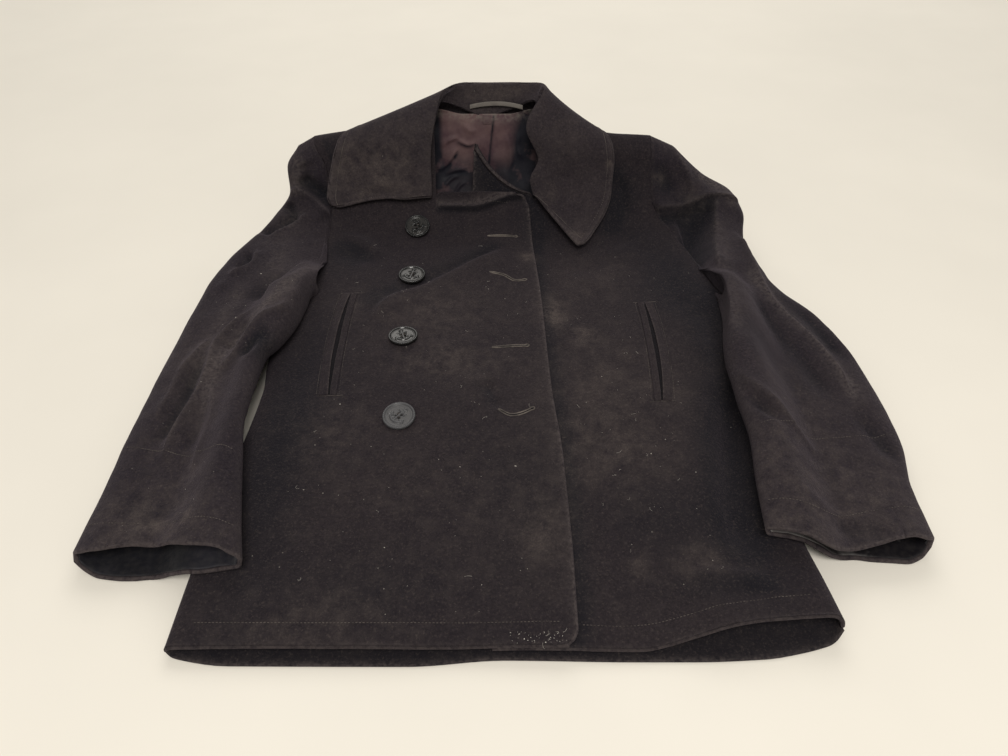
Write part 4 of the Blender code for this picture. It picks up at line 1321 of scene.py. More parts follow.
@dataclass(frozen=True)
class Front:
    """One front, from its side seam and armhole to its free edge and from the hem to the shoulder."""

    side: Side
    node: str
    slot: str
    columns: tuple[int, int]
    flat: tuple[float, float]
    area: float
    hem_wall: float = 0.0038
    lip: float = 0.0055
    dip: float = 0.0180
    tuck: float = 0.002
    corner_rise: float = 0.077

    @property
    def over(self) -> bool:
        """Whether this front laps over the other."""
        return self.side is Side.RIGHT

    def edge(self, s: Array) -> Array:
        """x of the free edge."""
        return EDGE_TABLE.at("overlap" if self.over else "underlap", s)

    def gorge(self, x: Array) -> Array:
        """s of the neck edge. The underlap's corner stands up."""
        if self.over:
            return BODY.gorge_s + 0.012 * smooth((x - BODY.neck_right_x) / 0.008)
        away = BODY.neck_left_x - x
        far = np.clip(away / 0.088, 0, 1)
        return BODY.gorge_s + 0.0095 * smooth(away / 0.010) + self.corner_rise * far**2.1

    def crest(self, x: Array) -> Array:
        """s of the line along which the overlap's neck edge rolls over."""
        return 0.681 + 0.024 * smooth((x + 0.045) / 0.065)

    def height(self, x: Array, s: Array) -> Array:
        """n of the outer face: the body's face and relief, with this front's own place in the lap."""
        inward = -self.side.out
        neck = BODY.neck_right_x if self.over else BODY.neck_left_x
        n = BODY.face(x, s, Leaf.FRONT) + BODY.relief(x, s)
        inside = smooth(inward * (x - neck) / 0.03)
        if self.over:
            rise = s - self.crest(x)
            inner = smooth(inward * (x - neck) / 0.010)
            dip = self.dip * (1 - 0.86 * smooth((x + 0.068) / 0.03))
            n = n + (self.lip * bell(rise, 0.0065) - dip * smooth(rise / 0.028)) * inner
            n = n + 0.0012 * bell(self.edge(s) - x, 0.018) - 0.0028 * bell(rise + 0.011, 0.0055) * inside
        else:
            rim = self.gorge(x) - s
            n = n + (0.0030 * bell(rim, 0.0035) - 0.0016 * bell(rim - 0.0080, 0.0030)) * inside
            away = np.abs(x - BODY.side(self.side, s))
            n = n - BODY.lap_step * smooth((away - 0.008) / 0.05) * BODY.fullness(x, s)
            n = n - self.tuck * smooth((s - BODY.gorge_s) / 0.03 + 1) * inside
            n = n + 0.006 * smooth((s - BODY.gorge_s) / 0.06) * inside
        return n

    def surface(self, x: Array, s: Array) -> Array:
        """Points in space of the outer face."""
        return lay(x, s, self.height(x, s))

    def marks(self, x: Array, s: Array, edge_gap: Array) -> Array:
        """Dust, wear and painted shade: patches on the cloth, rubbing along its edges with painted highlight
        on the neck rolls, and painted shade and shadow.
        """
        wear_and_highlight = 0.8 * bell(edge_gap, 0.0030) + 0.25 * bell(edge_gap, 0.010)
        wear_and_highlight = wear_and_highlight + 0.7 * bell(s - HEM_TABLE.at("front", x), 0.0035)
        neck = np.abs(x - BODY.neck_x) < BODY.neck_half
        # painted shade: patches, and the dark sides of folds
        shade = spots(BODY_SHADE, x, s) + heights(BODY_DARK, x, s)
        if self.over:
            rise = s - self.crest(x)
            # rubbing and painted highlight along the overlap's rolled neck edge
            wear_and_highlight = wear_and_highlight + (0.9 * bell(rise - 0.004, 0.0035) + 0.8 * bell(rise - 0.011, 0.007)) * neck
            # painted shadow under the rolled neck edge
            shade = shade + 1.0 * bell(rise + 0.005, 0.0065) * neck
        else:
            rim = self.gorge(x) - s
            # rubbing and painted highlight along the underlap's rolled neck rim
            wear_and_highlight = wear_and_highlight + (1.0 * bell(rim, 0.0022) + 0.5 * bell(rim - 0.0045, 0.0010)) * neck
            # painted shade in the underlap's corner above the gorge
            shade = shade + smooth((s - 0.700) / 0.01) * smooth((rim - 0.004) / 0.003)
            # painted shadow beside the overlap's free edge
            shade = shade + 0.9 * bell(x - EDGE_TABLE.at("overlap", s) - 0.003, 0.011)
        return np.stack([spots(BODY_DUST, x, s), np.clip(wear_and_highlight, 0, 1), np.clip(shade, 0, 1)], -1)

    def build(self, finish: Material) -> Object:
        """The piece: a grid whose columns follow the side fold, then run to the neck and to the free edge."""
        x0, side_s = BODY.side_rows(self.side, GRAIN.low, GRAIN.high)
        inward = -self.side.out
        fold = BODY.fold(x0, side_s)
        near = x0[:, None] + inward * fold[:, None] * GRAIN.fold
        neck = np.full_like(x0, BODY.neck_right_x if self.over else BODY.neck_left_x)
        edge = self.edge(np.concatenate([GRAIN.low * BODY.gorge_s, np.full(len(GRAIN.high), BODY.gorge_s)]))
        first, second = self.columns
        wide = spread(near[:, -1], neck, np.linspace(0, 1, first + 1)[1:])
        t = np.linspace(0, 1, second + 1)[1:]
        shares = t + 0.25 * t**3 * (1 - t)
        lap = spread(neck, edge, shares)
        x = np.concatenate([near, wide, lap], axis=1)
        s = panel_rows(HEM_TABLE.at("front", x), self.gorge(x), BODY.shoulder(x))
        for _ in range(2):
            x[:, -second:] = spread(neck, self.edge(s[:, -1]), shares)
            s = panel_rows(HEM_TABLE.at("front", x), self.gorge(x), BODY.shoulder(x))
        neck_column = GRAIN.fold_columns + first - 1
        keep = np.ones((x.shape[0] - 1, x.shape[1] - 1), bool)
        keep[GRAIN.low_rows - 1:, neck_column:] = False
        quads = quads_of(*x.shape, keep=keep)
        if not self.over:
            quads = quads[:, ::-1]
        gap = np.abs(x - self.edge(s))
        hem_gap = s - HEM_TABLE.at("front", x)
        by_hem = bell(hem_gap, 0.03)
        wall = CLOTH + (self.hem_wall - CLOTH) * (by_hem + (1 - by_hem) * bell(gap, 0.03))
        rim = bell(self.gorge(x) - s, 0.006) * (np.abs(x - BODY.neck_x) < BODY.neck_half)
        wall = wall + (0.0012 if self.over else 0.0024) * rim
        draw = 0.30 + 0.70 * np.maximum(np.maximum(bell(gap, 0.01), bell(hem_gap, 0.01)), rim)
        marks = self.marks(x, s, gap)
        points = self.surface(x, s).reshape(-1, 3)
        mesh = Mesh.shell(points, quads, marks.reshape(-1, 3), wall.reshape(-1), draw=draw.reshape(-1))
        piece = mesh.make(self.node, finish, self.slot, [self.node])
        return piece


@dataclass(frozen=True)
class Back:
    """The back panel, which the coat lies on, and the lining that shows inside its neck."""

    flat: tuple[float, float] = (0.62, 0.85)
    area: float = 0.485
    middle_columns: int = 54
    lining_flat: tuple[float, float] = (0.18, 0.15)
    lining_low: float = 0.640

    def height(self, x: Array, s: Array) -> Array:
        """n of the outer face, which is flat where the coat rests."""
        rise = heights(BACK_CREASES, x, s) * BODY.fullness(x, s)
        seam = 0.0010 * bell(x - BODY.neck_x, 0.003) * smooth((s - 0.60) / 0.05)
        return BODY.face(x, s, Leaf.BACK) + (rise + seam) * smooth((s - BEND_START) / 0.05)

    def grid(self) -> tuple[Array, Array]:
        """x and s of the panel's points, whose columns follow the folds at both sides."""
        right, right_s = BODY.side_rows(Side.RIGHT, GRAIN.low, GRAIN.high)
        left, left_s = BODY.side_rows(Side.LEFT, GRAIN.low, GRAIN.high)
        near = right[:, None] + BODY.fold(right, right_s)[:, None] * GRAIN.fold
        far = left[:, None] - BODY.fold(left, left_s)[:, None] * GRAIN.fold
        middle = spread(near[:, -1], far[:, -1], np.linspace(0, 1, self.middle_columns + 1)[1:])
        x = np.concatenate([near, middle, far[:, -2::-1]], axis=1)
        neck = smooth((BODY.neck_half - np.abs(x - BODY.neck_x)) / 0.04)
        top = BODY.shoulder(x) - BODY.neck_drop * neck
        return x, panel_rows(HEM_TABLE.at("back", x), np.full_like(x, BODY.gorge_s), top)

    def build(self, wool: Material, satin: Material) -> None:
        """The panel and its lining."""
        x, s = self.grid()
        points = lay(x, s, self.height(x, s)).reshape(-1, 3)
        wear_and_highlight = 0.8 * bell(s - HEM_TABLE.at("back", x), 0.004)
        # painted shade over the whole back panel: its inside shows in shadow under the lifted hem
        marks = marks_of(0.06, wear_and_highlight, 0.85)
        quads = quads_of(*x.shape)[:, ::-1]
        piece = Mesh.shell(points, quads, marks, CLOTH).make("back", wool, "wool_back", ["back"])
        self.build_lining(satin)

    def lining_height(self, x: Array, s: Array) -> Array:
        """n of the lining's face towards the inside of the coat, with its wrinkles and middle pleat."""
        floor = BODY.face(x, s, Leaf.BACK) + CLOTH + 0.0005 + LINING
        rise = heights(LINING_CREASES, x, s) + waves(x, s, 21, 0.030, 0.0005) + 0.0011
        return floor + np.maximum(rise, 0.0) * smooth((BODY.shoulder(x) - s - 0.007) / 0.010)

    def build_lining(self, satin: Material) -> None:
        """Satin inside the back of the neck, with painted shade on its lower part, its folds and its sides.
        """
        t, u = grid(np.linspace(0, 1, 100), np.linspace(0, 1, 120))
        x = BODY.neck_right_x - 0.030 + (2 * BODY.neck_half + 0.060) * u
        inside = smooth((BODY.neck_half - np.abs(x - BODY.neck_x)) / 0.04)
        top = BODY.shoulder(x) - 0.008 * inside
        s = self.lining_low + (top - self.lining_low) * t
        points = lay(x, s, self.lining_height(x, s)).reshape(-1, 3)
        # painted shade: darker towards the bottom, on the folds, towards the right, in a patch below the
        # loop's end and along the left edge
        low = 0.95 * smooth((0.778 - s) / 0.04) + heights(LINING_DARK, x, s)
        low = low + 0.9 * smooth((x - 0.004) / 0.030)
        low = low + 0.8 * DustAndShadePatch(0.026, 0.780, 0.016, 0.030, 1.0).at(x, s) + smooth((-0.084 - x) / 0.010)
        marks = marks_of(0.6 * bell(top - s, 0.010), 0.0, low)
        piece = Mesh.shell(points, quads_of(*x.shape), marks, LINING, rim=2)
        piece = piece.make("back_lining", satin, "satin_back", ["back_lining"])


# ---------------------------------------------------------------------------------------------------
# Sleeves


@dataclass(frozen=True)
class Sleeve:
    """A two-piece sleeve, from the armhole to the cuff.

    A ring of the sleeve is a flattened tube from its inner fold to its outer fold. Its turn runs from 0 at
    the inner fold over the top to 1 at the outer fold and back underneath to 2.
    """

    side: Side
    table: Table
    creases: tuple[Crease, ...]
    upper_flat: tuple[float, float]
    upper_area: float
    under_flat: tuple[float, float]
    under_area: float
    seed: int
    mouth: Table
    gain: float = 1.35
    hind_seam: float = 0.78
    fore_seam: float = 0.28
    fold_round: float = 0.028
    support_out: float = 0.042
    support_in: float = 0.010
    lie_gap: float = 0.0025
    arm_step: float = 0.0006
    lean: float = 0.0
    rows: int = 240
    lining_gap: float = 0.0016
    lining_flat: tuple[float, float] = (0.36, 0.06)

    @property
    def count(self) -> float:
        """Number of steps from the armhole's ring to the cuff."""
        return float(len(self.table.rows))

    def support(self, x: Array, s: Array) -> Array:
        """Height that the sleeve lies on: the front beside it, running down to the ground outside it."""
        outside = self.side.out * (x - BODY.side(self.side, s))
        share = smooth((self.support_out - outside) / (self.support_out + self.support_in))
        below = smooth((0.555 - s) / 0.110)
        return (BODY.depth(x, s) + self.lie_gap) * share * below

    def armhole(self, share: Array, top: Array) -> Array:
        """Layout points of the body's armhole edge, on the front where `top` is 1 and on the back at -1."""
        hem = HEM_TABLE.at("front", BODY_TABLE.at(self.side.word, 0.0))
        low = 0.438 + hem * (1 - 0.438 / BODY.gorge_s)
        high = 0.796
        s = low + (high - low) * share
        x = BODY.side(self.side, s)
        s = low + (BODY.shoulder(x) - low) * share
        x = BODY.side(self.side, s)
        half = BODY.depth(x, s) / 2
        n = half + top * (half - BODY.seam) * BODY.fullness(x, s)
        return np.stack([x + self.side.out * self.arm_step, s, n], -1)

    def ring(self, row: Array, share: Array, top: Array) -> Array:
        """Layout points of the free sleeve at rows of its table.

        x and s run straight between the two folds, plus a bow; n is the support plus half the depth, more or
        less a quarter round that grows from each fold.
        """
        read = {name: self.table.by_row(name, row) for name in SLEEVE_NAMES}
        run_x, run_s = read["outer_x"] - read["inner_x"], read["outer_s"] - read["inner_s"]
        x = read["inner_x"] + run_x * share - self.side.out * read["bow"] * 4 * share * (1 - share)
        s = read["inner_s"] + run_s * share
        n = self.support(x, s) + read["deep"] / 2 * (1 + top * self.fullness(row, share))
        mouth = {name: self.mouth.at(name, share) for name in MOUTH_NAMES[1:]}
        near = bell(self.count - 1 - row, 0.75)
        s = s + near * np.where(top > 0, mouth["upper_s"], mouth["lower_s"])
        n = n + near * np.where(top > 0, mouth["upper_n"], 0.0)
        return np.stack([x, s, n], -1)

    def fullness(self, row: Array, share: Array) -> Array:
        """Quarter round from 0 at either fold to 1 where the ring has its whole depth."""
        read = {name: self.table.by_row(name, row) for name in SLEEVE_NAMES}
        size = np.hypot(read["outer_x"] - read["inner_x"], read["outer_s"] - read["inner_s"])
        return corner(np.minimum(share, 1 - share) * size / self.fold_round)

    def points(self, turn: Array, along: Array) -> Array:
        """Layout points for turns round the sleeve and steps along it: the armhole eases into the sleeve."""
        turn = turn % 2.0
        share = np.where(turn <= 1, turn, 2 - turn)
        top = np.where(turn <= 1, 1.0, -1.0)
        row = np.maximum(along - 1, 0)
        free = self.ring(row, share, top)
        fixed = self.armhole(share, top)
        ease = np.clip(along, 0, 1)[..., None]
        ease = 0.5 * ease + 0.5 * smooth(ease)
        joined = fixed + (free - fixed) * ease
        upper = (1 + top * self.fullness(row, share)) / 2
        x, s = joined[..., 0], joined[..., 1]
        relief = self.gain * heights(self.creases, x, s, crisp=True)
        relief = relief + waves(x, s, self.seed, 0.110, 0.0010) + waves(x, s, self.seed + 1, 0.034, 0.0004)
        relief = relief * smooth(along / 0.16)
        hidden = np.abs(waves(x, s, self.seed + 2, 0.070, 0.0022)) * (1 - upper) ** 2
        hidden = hidden * smooth((s - 0.12) / 0.05)
        puff = 0.0040 * np.sin(math.pi * np.clip(along, 0, 1)) * corner(np.minimum(share, 1 - share) * 6)
        joined[..., 2] += np.where(top > 0, puff, hidden) + relief * upper**1.5
        over = np.sin(math.pi * np.clip(along / 1.6, 0, 1)) * bell(share - 0.15, 0.20) * upper
        joined[..., 0] -= self.side.out * self.lean * over
        return joined

    def turns(self, start: float, end: float, count: int) -> Array:
        """Turns from one seam to the other, closer together round the folds."""
        fine = np.linspace(start, end, 800)
        dense = 1 + 2.4 * bell((fine + 0.5) % 1.0 - 0.5, 0.07)
        total = np.concatenate([[0], np.cumsum((dense[1:] + dense[:-1]) / 2)])
        return np.interp(np.linspace(0, total[-1], count), total, fine)

    def top_surface(self, turn: Array, along: Array) -> Array:
        """Points in space for turns and steps."""
        return lay_points(self.points(turn, along))

    def along_rows(self) -> Array:
        """Steps along the sleeve, at about even lengths of its middle."""
        fine = np.linspace(0, self.count, 300)
        middle = self.top_surface(np.full(300, 0.5), fine)
        length = np.concatenate([[0], np.cumsum(np.linalg.norm(np.diff(middle, axis=0), axis=1))])
        return np.interp(np.linspace(0, length[-1], self.rows), length, fine)

    def marks(self, points: Array, along: Array, turn: Array) -> Array:
        """Dust near the cuff and in patches, rubbing at the cuff and folds with painted highlight on the
        crests, and painted shade in the troughs.
        """
        x, s = points[..., 0], points[..., 1]
        relief = heights(self.creases, x, s)
        cuff = self.count - along
        dust = 0.16 * bell(cuff, 1.0)
        dust = dust + spots(SLEEVE_DUST, x, s)
        # wear, and painted highlight along the crests of the folds
        wear_and_highlight = 0.9 * bell(cuff, 0.05) + 0.55 * crest_highlights(self.creases, x, s) + heights(SLEEVE_LIGHT, x, s)
        wear_and_highlight = wear_and_highlight + 0.30 * bell((turn + 0.5) % 1.0 - 0.5, 0.03) + 0.3 * bell(along, 0.08)
        # painted shade in the troughs and on the shaded planes
        shade = np.clip(-relief / 0.006, 0, 1) + heights(SLEEVE_DARK, x, s)
        return np.stack([np.clip(dust, 0, 1), np.clip(wear_and_highlight, 0, 1), shade], -1)

    def build_piece(self, name: str, start: float, end: float, columns: int, finish: Material) -> None:
        """One piece of the sleeve, between two turns."""
        along, turn = grid(self.along_rows(), self.turns(start, end, columns))
        points = self.points(turn, along)
        marks = self.marks(points, along, turn)
        space = lay_points(points).reshape(-1, 3)
        quads = quads_of(*along.shape)
        if self.side is Side.LEFT:
            quads = quads[:, ::-1]
        wall = CLOTH + 0.0012 * bell(self.count - along, 0.5)
        node = f"sleeve_{self.side.word}_{name}"
        ends = np.maximum(bell(self.count - along, 0.1), 0.35 * bell(along, 0.02))
        draw = 0.12 + 0.88 * ends
        mesh = Mesh.shell(space, quads, marks.reshape(-1, 3), wall.reshape(-1), draw=draw.reshape(-1))
        piece = mesh.make(node, finish, f"wool_{node}", [node])

    def build(self, wardrobe: Wardrobe) -> None:
        """Both pieces and the lining inside the cuff."""
        word = self.side.word
        self.build_piece("upper", -self.fore_seam, self.hind_seam, 124, wardrobe.wool[f"{word}_upper"])
        self.build_piece("under", self.hind_seam, 2 - self.fore_seam, 66, wardrobe.wool[f"{word}_under"])
        self.build_lining(wardrobe.cuffs[word])

    def build_lining(self, satin: Material) -> None:
        """Satin inside the cuff, all round: the sleeve's own points, moved in by its wall."""
        steps = np.linspace(self.count - 1.1, self.count - 0.05, 26)
        along, turn = grid(steps, self.turns(0.0, 2.0, 121)[:-1])
        points = self.top_surface(turn, along).reshape(-1, 3)
        quads = quads_of(*along.shape, closed=True)
        if self.side is Side.LEFT:
            quads = quads[:, ::-1]
        normals = point_normals(points, quads)
        ripple = waves(turn * 0.2, along * 0.05, 33, 0.03, 0.0005).reshape(-1, 1)
        inner = points - normals * (CLOTH + self.lining_gap + ripple)
        share = np.where(turn <= 1, turn, 2 - turn)
        marks = marks_of(0.05, 0.0, smooth((share - 0.25) / 0.1))
        node = f"cuff_lining_{self.side.word}"
        mesh = Mesh.shell(inner, quads, marks, LINING, rim=2)
        piece = mesh.make(node, satin, f"satin_cuff_{self.side.word}", [node])


# shaded planes of the sleeves, as amounts
SLEEVE_DARK = shades(
    (0.95, 3, 45, 0.08, (301, 706), (296, 670), (290, 604), (279, 530)),
    (0.5, 3, 16, 0.1, (204, 672), (227, 672), (262, 681), (290, 696)),
    (0.45, 10, 16, 0.2, (210, 770), (222, 735), (236, 695)),
    (0.45, 20, 3, 0.2, (330, 600), (334, 540), (338, 460), (352, 400), (378, 330)),
    (0.85, 16, 3, 0.1, (-298, 728), (-279, 715), (-264, 700), (-250, 678)),
    (0.6, 3, 12, 0.2, (-280, 672), (-294, 636), (-303, 617), (-320, 603)),
    (0.6, 3, 12, 0.2, (-336, 352), (-334, 320), (-334, 278), (-341, 225)),
    (0.55, 12, 4, 0.3, (-262, 366), (-280, 342), (-300, 312)),
    (0.95, 10, 10, 0.3, (-254, 348), (-262, 330), (-264, 300)),
)
# painted highlights along the crests of the sleeves' folds, as amounts of wear
SLEEVE_LIGHT = shades(
    (1, 11, 12, 0.12, (-238, 530), (-253, 460), (-272, 400), (-304, 366), (-321, 320), (-318, 276),
     (-309, 219)),
    (0.45, 20, 20, 0.2, (-296, 690), (-302, 654), (-305, 583), (-294, 464)),
    (0.8, 10, 10, 0.2, (-290, 775), (-296, 723), (-294, 691)),
    (0.5, 9, 10, 0.2, (-330, 500), (-333, 443), (-342, 346), (-336, 271)),
    (0.9, 12, 9, 0.12, (318, 520), (324, 468), (344, 406), (364, 355), (376, 303), (380, 256)),
    (0.9, 10, 10, 0.2, (262, 756), (293, 733), (317, 700), (328, 667)),
    (0.4, 10, 14, 0.1, (300, 640), (297, 569), (284, 486), (268, 402), (257, 329)),
)
SLEEVE_DUST = patches(
    (-335, 120, 50, 30, 0.5), (-300, 165, 14, 14, 0.5), (218, 735, 10, 10, 0.7), (330, 150, 60, 50, 0.3),
    (320, 260, 40, 60, 0.25), (-290, 100, 30, 20, 0.3), (-334, 335, 45, 50, 0.28),
    (-338, 215, 40, 50, 0.28), (-256, 408, 20, 30, 0.28), (-294, 733, 18, 20, 0.28),
    (262, 186, 30, 40, 0.24), (262, 108, 30, 30, 0.28), (265, 692, 22, 30, 0.4),
)


# ---------------------------------------------------------------------------------------------------
# Collar


@dataclass(frozen=True)
class Collar:
    """Wide collar: it stands up from the neck seam, rolls over and falls to its edge.

    The surface runs round the neck in rows and from the neck seam over the roll to the edge in columns, as a
    smooth surface through the table's points. Its corners are rounded by drawing a square of the grid into
    a quarter disc.
    """

    knee_share: float = 0.14
    rows: int = 190
    columns: int = 78
    flat: tuple[float, float] = (0.66, 0.185)
    area: float = 0.110

    def control(self) -> Array:
        """Layout points of the table: sections round the neck, each from neck seam to edge."""
        read = COLLAR_TABLE.column
        neck, roll, edge = (np.stack([read(f"{w}_{k}") for k in "xsn"], -1) for w in ("neck", "roll", "edge"))
        knee = roll + (edge - roll) * self.knee_share
        knee[:, 2] = read("knee_n")
        return np.stack([neck, (neck + roll) / 2, roll, knee, (knee + edge) / 2, edge], axis=1)

    def points(self, around: Array, across: Array) -> Array:
        """Layout points at shares of the way round the neck and from the neck seam to the edge.

        Args:
            around: 0 at the right front edge and 1 at the left one.
            across: 0 at the neck seam and 1 at the outer edge.

        Returns:
            Points, read from a fine grid of the smooth surface with straight lines between its points.
        """
        fine = catmull(np.linspace(0, 14, 421), self.control())
        known = np.array([0.0, 0.8, 1.6, 2.4, 3.7, 5.0]) / 5.0
        places = np.interp(np.linspace(0, 1, 201), known, np.arange(6.0))
        fine = np.moveaxis(catmull(places, np.moveaxis(fine, 1, 0)), 0, 1)
        a, b = np.clip(around, 0, 1) * 420, np.clip(across, 0, 1) * 200
        i, j = np.minimum(a.astype(int), 419), np.minimum(b.astype(int), 199)
        fa, fb = (a - i)[..., None], (b - j)[..., None]
        near = fine[i, j] * (1 - fb) + fine[i, j + 1] * fb
        far = fine[i + 1, j] * (1 - fb) + fine[i + 1, j + 1] * fb
        return near * (1 - fa) + far * fa

    def rounded(self, around: Array, across: Array) -> tuple[Array, Array]:
        """The grid with its outer corners drawn into quarter discs."""
        start = around
        for wide, high, sign in ((0.050, 0.16, -1.0), (0.026, 0.085, 1.0)):
            end = start if sign < 0 else 1 - start
            a = np.clip((wide - end) / wide, 0, 1)
            b = np.clip((across - (1 - high)) / high, 0, 1)
            around = around + sign * wide * a * (np.sqrt(1 - b * b / 2) - 1)
            across = across + high * b * (np.sqrt(1 - a * a / 2) - 1)
        return around, across

    def lifted(self, around: Array, across: Array) -> Array:
        """Layout points with the collar's own soft folds, and its edges slightly curled and curved."""
        points = self.points(around, across)
        x, s = points[..., 0], points[..., 1]
        fall = smooth((across - 0.50) / 0.15)
        relief = heights(COLLAR_CREASES, x, s) + waves(x, s, 51, 0.080, 0.0007)
        points[..., 2] += relief * fall
        seam = bell((1 - across) - 0.055, 0.012) * fall
        front = np.minimum(around, 1 - around)
        seam = seam + bell(front - 0.012, 0.003) * fall
        points[..., 2] -= 0.0006 * np.clip(seam, 0, 1)
        right = bell(around, 0.05)
        curve = 0.010 * bell(across - 0.72, 0.18) - 0.006 * bell(across - 0.98, 0.07)
        points[..., 1] += right * curve * fall
        return points

    def build(self, finish: Material) -> None:
        """The collar, as one padded-out layer of two cloths."""
        t = np.linspace(0, 1, self.rows)
        t = t + 0.012 * np.sin(2 * math.pi * t)
        u = np.linspace(0, 1, self.columns)
        around, across = grid(t, u)
        across = across - 0.04 * np.sin(2 * math.pi * across)
        around, across = self.rounded(around, across)
        points = self.lifted(around, across)
        space = lay_points(points).reshape(-1, 3)
        quads = quads_of(*around.shape)
        normals = point_normals(space, quads)
        front = np.minimum(around, 1 - around)
        wear_and_highlight = 0.9 * bell(1 - across, 0.03) + 0.7 * bell(front, 0.008) + 0.4 * bell(across - 0.36, 0.06)
        # dust, and painted light that lightens the wearer's right wing
        dust = 0.04 + spots(COLLAR_DUST_AND_LIGHT, points[..., 0], points[..., 1])
        dust = dust + 0.5 * bell(around - 0.5, 0.10) * bell(across - 0.2, 0.16)
        marks = marks_of(dust, wear_and_highlight)
        outer = space + normals * COLLAR_CLOTH / 2
        mesh = Mesh.shell(outer, quads, marks, COLLAR_CLOTH, rim=6)
        piece = mesh.make("collar", finish, "wool_collar", ["collar"])

    def middle(self, around: Array, across: Array) -> Array:
        """Points in space halfway through the cloth, at shares round the collar and across it."""
        return lay_points(self.lifted(*self.rounded(around, across)))

    def surface(self, around: Array, across: Array) -> Array:
        """Points in space of the collar's outer face, at shares of the way."""
        step = 0.002
        space = self.middle(around, across)
        a = self.middle(around + step, across) - space
        b = self.middle(around, across - step) - space
        return space - unit(np.cross(a, b)) * COLLAR_CLOTH / 2


COLLAR_CREASES = creases(
    (-3.4, 14, 14, 0.35, (70, 800), (92, 740), (108, 660)),
    (-2.6, 7, 7, 0.35, (60, 752), (78, 742), (90, 726)),
    (2.2, 6, 7, 0.35, (74, 790), (58, 770), (62, 745)),
    (2.2, 12, 12, 0.35, (130, 760), (126, 700), (116, 620)),
    (2, 26, 26, 0.35, (-225, 720), (-180, 735), (-125, 735)),
    (-1.8, 12, 12, 0.35, (-215, 690), (-175, 700), (-120, 705)),
)
# dust spots, and painted light: the large patch lightens the wearer's right wing
COLLAR_DUST_AND_LIGHT = patches(
    (146, 762, 5, 6, 0.9), (100, 600, 20, 30, 0.4), (-180, 740, 75, 70, 0.55), (85, 790, 30, 30, 0.15),
    (60, 700, 16, 20, 0.4),
)


# ---------------------------------------------------------------------------------------------------
# Trimmings


@dataclass(frozen=True)
class Stitching:
    """Row of stitches along a surface."""

    length: float = 0.0022
    pitch: float = 0.0031
    thick: float = 0.00040
    sink: float = 0.00005

    def row(self, surface: Surface, path: Sequence[tuple[float, float]]) -> Mesh:
        """Stitches of one row: a bead for each, laid along the path and half sunk."""
        line = resample(path, self.pitch)
        return self.on(surface(line[:, 0], line[:, 1]), frame_on(surface, line[:, 0], line[:, 1])[3])

    def on(self, places: Array, normals: Array) -> Mesh:
        """Stitches at points of a line, whose spacing is already even."""
        along = unit(np.gradient(places, axis=0))
        normals = unit(normals - (normals * along).sum(-1, keepdims=True) * along)
        axes = np.stack([along, np.cross(normals, along), normals], axis=1)
        sizes = np.tile([self.length / 2, self.thick, self.thick * 0.8], (len(places), 1))
        return repeat(bead(), places + normals * (self.thick * 0.45 - self.sink), axes, sizes)


@dataclass(frozen=True)
class Buttonhole:
    """Worked buttonhole: a slit in the cloth with a raised, whipped edge all round."""

    path: tuple[tuple[float, float], ...]
    open_width: float = 0.0010
    edge: float = 0.0008
    eyelet: float = 0.0013

    def outline(self) -> Array:
        """Closed line round the slit: each side is the path moved sideways, wider at the eyelet."""
        line = resample(self.path, 0.0006)
        along = unit(np.gradient(line, axis=0))
        across = np.stack([-along[:, 1], along[:, 0]], -1)
        t = np.linspace(0, 1, len(line))
        half = self.open_width * (0.45 + 0.55 * np.sin(math.pi * t)) + self.edge * 0.7
        half = half + self.eyelet * bell(t - 0.95, 0.045)
        half = half * np.sqrt(np.clip(1 - (2 * t - 1) ** 10, 0.0, 1))
        return np.concatenate([line + across * half[:, None], (line - across * half[:, None])[::-1]])

    def build(self, surface: Surface) -> tuple[Mesh, Mesh]:
        """The whipped edge, a tube whose thickness swells with each stitch, and the dark slit inside it, a
        flat tube of painted shade.
        """
        ring = self.outline()
        ring = resample(np.concatenate([ring, ring[:1]]), 0.00045)[:-1]
        place, _, _, normal = frame_on(surface, ring[:, 0], ring[:, 1])
        swell = 1 + 0.22 * np.sin(np.arange(len(ring)) * 2 * math.pi / 3)
        middle = place + normal * self.edge * 0.35
        lip = tube(middle, self.edge * swell, sides=8, flat=0.75, closed=True, up=normal)
        line = resample(self.path, 0.0010)
        centre, _, _, up = frame_on(surface, line[:, 0], line[:, 1])
        slit = tube(centre + up * 0.0001, self.open_width * 1.15, sides=8, flat=0.35, up=up)
        return lip, slit


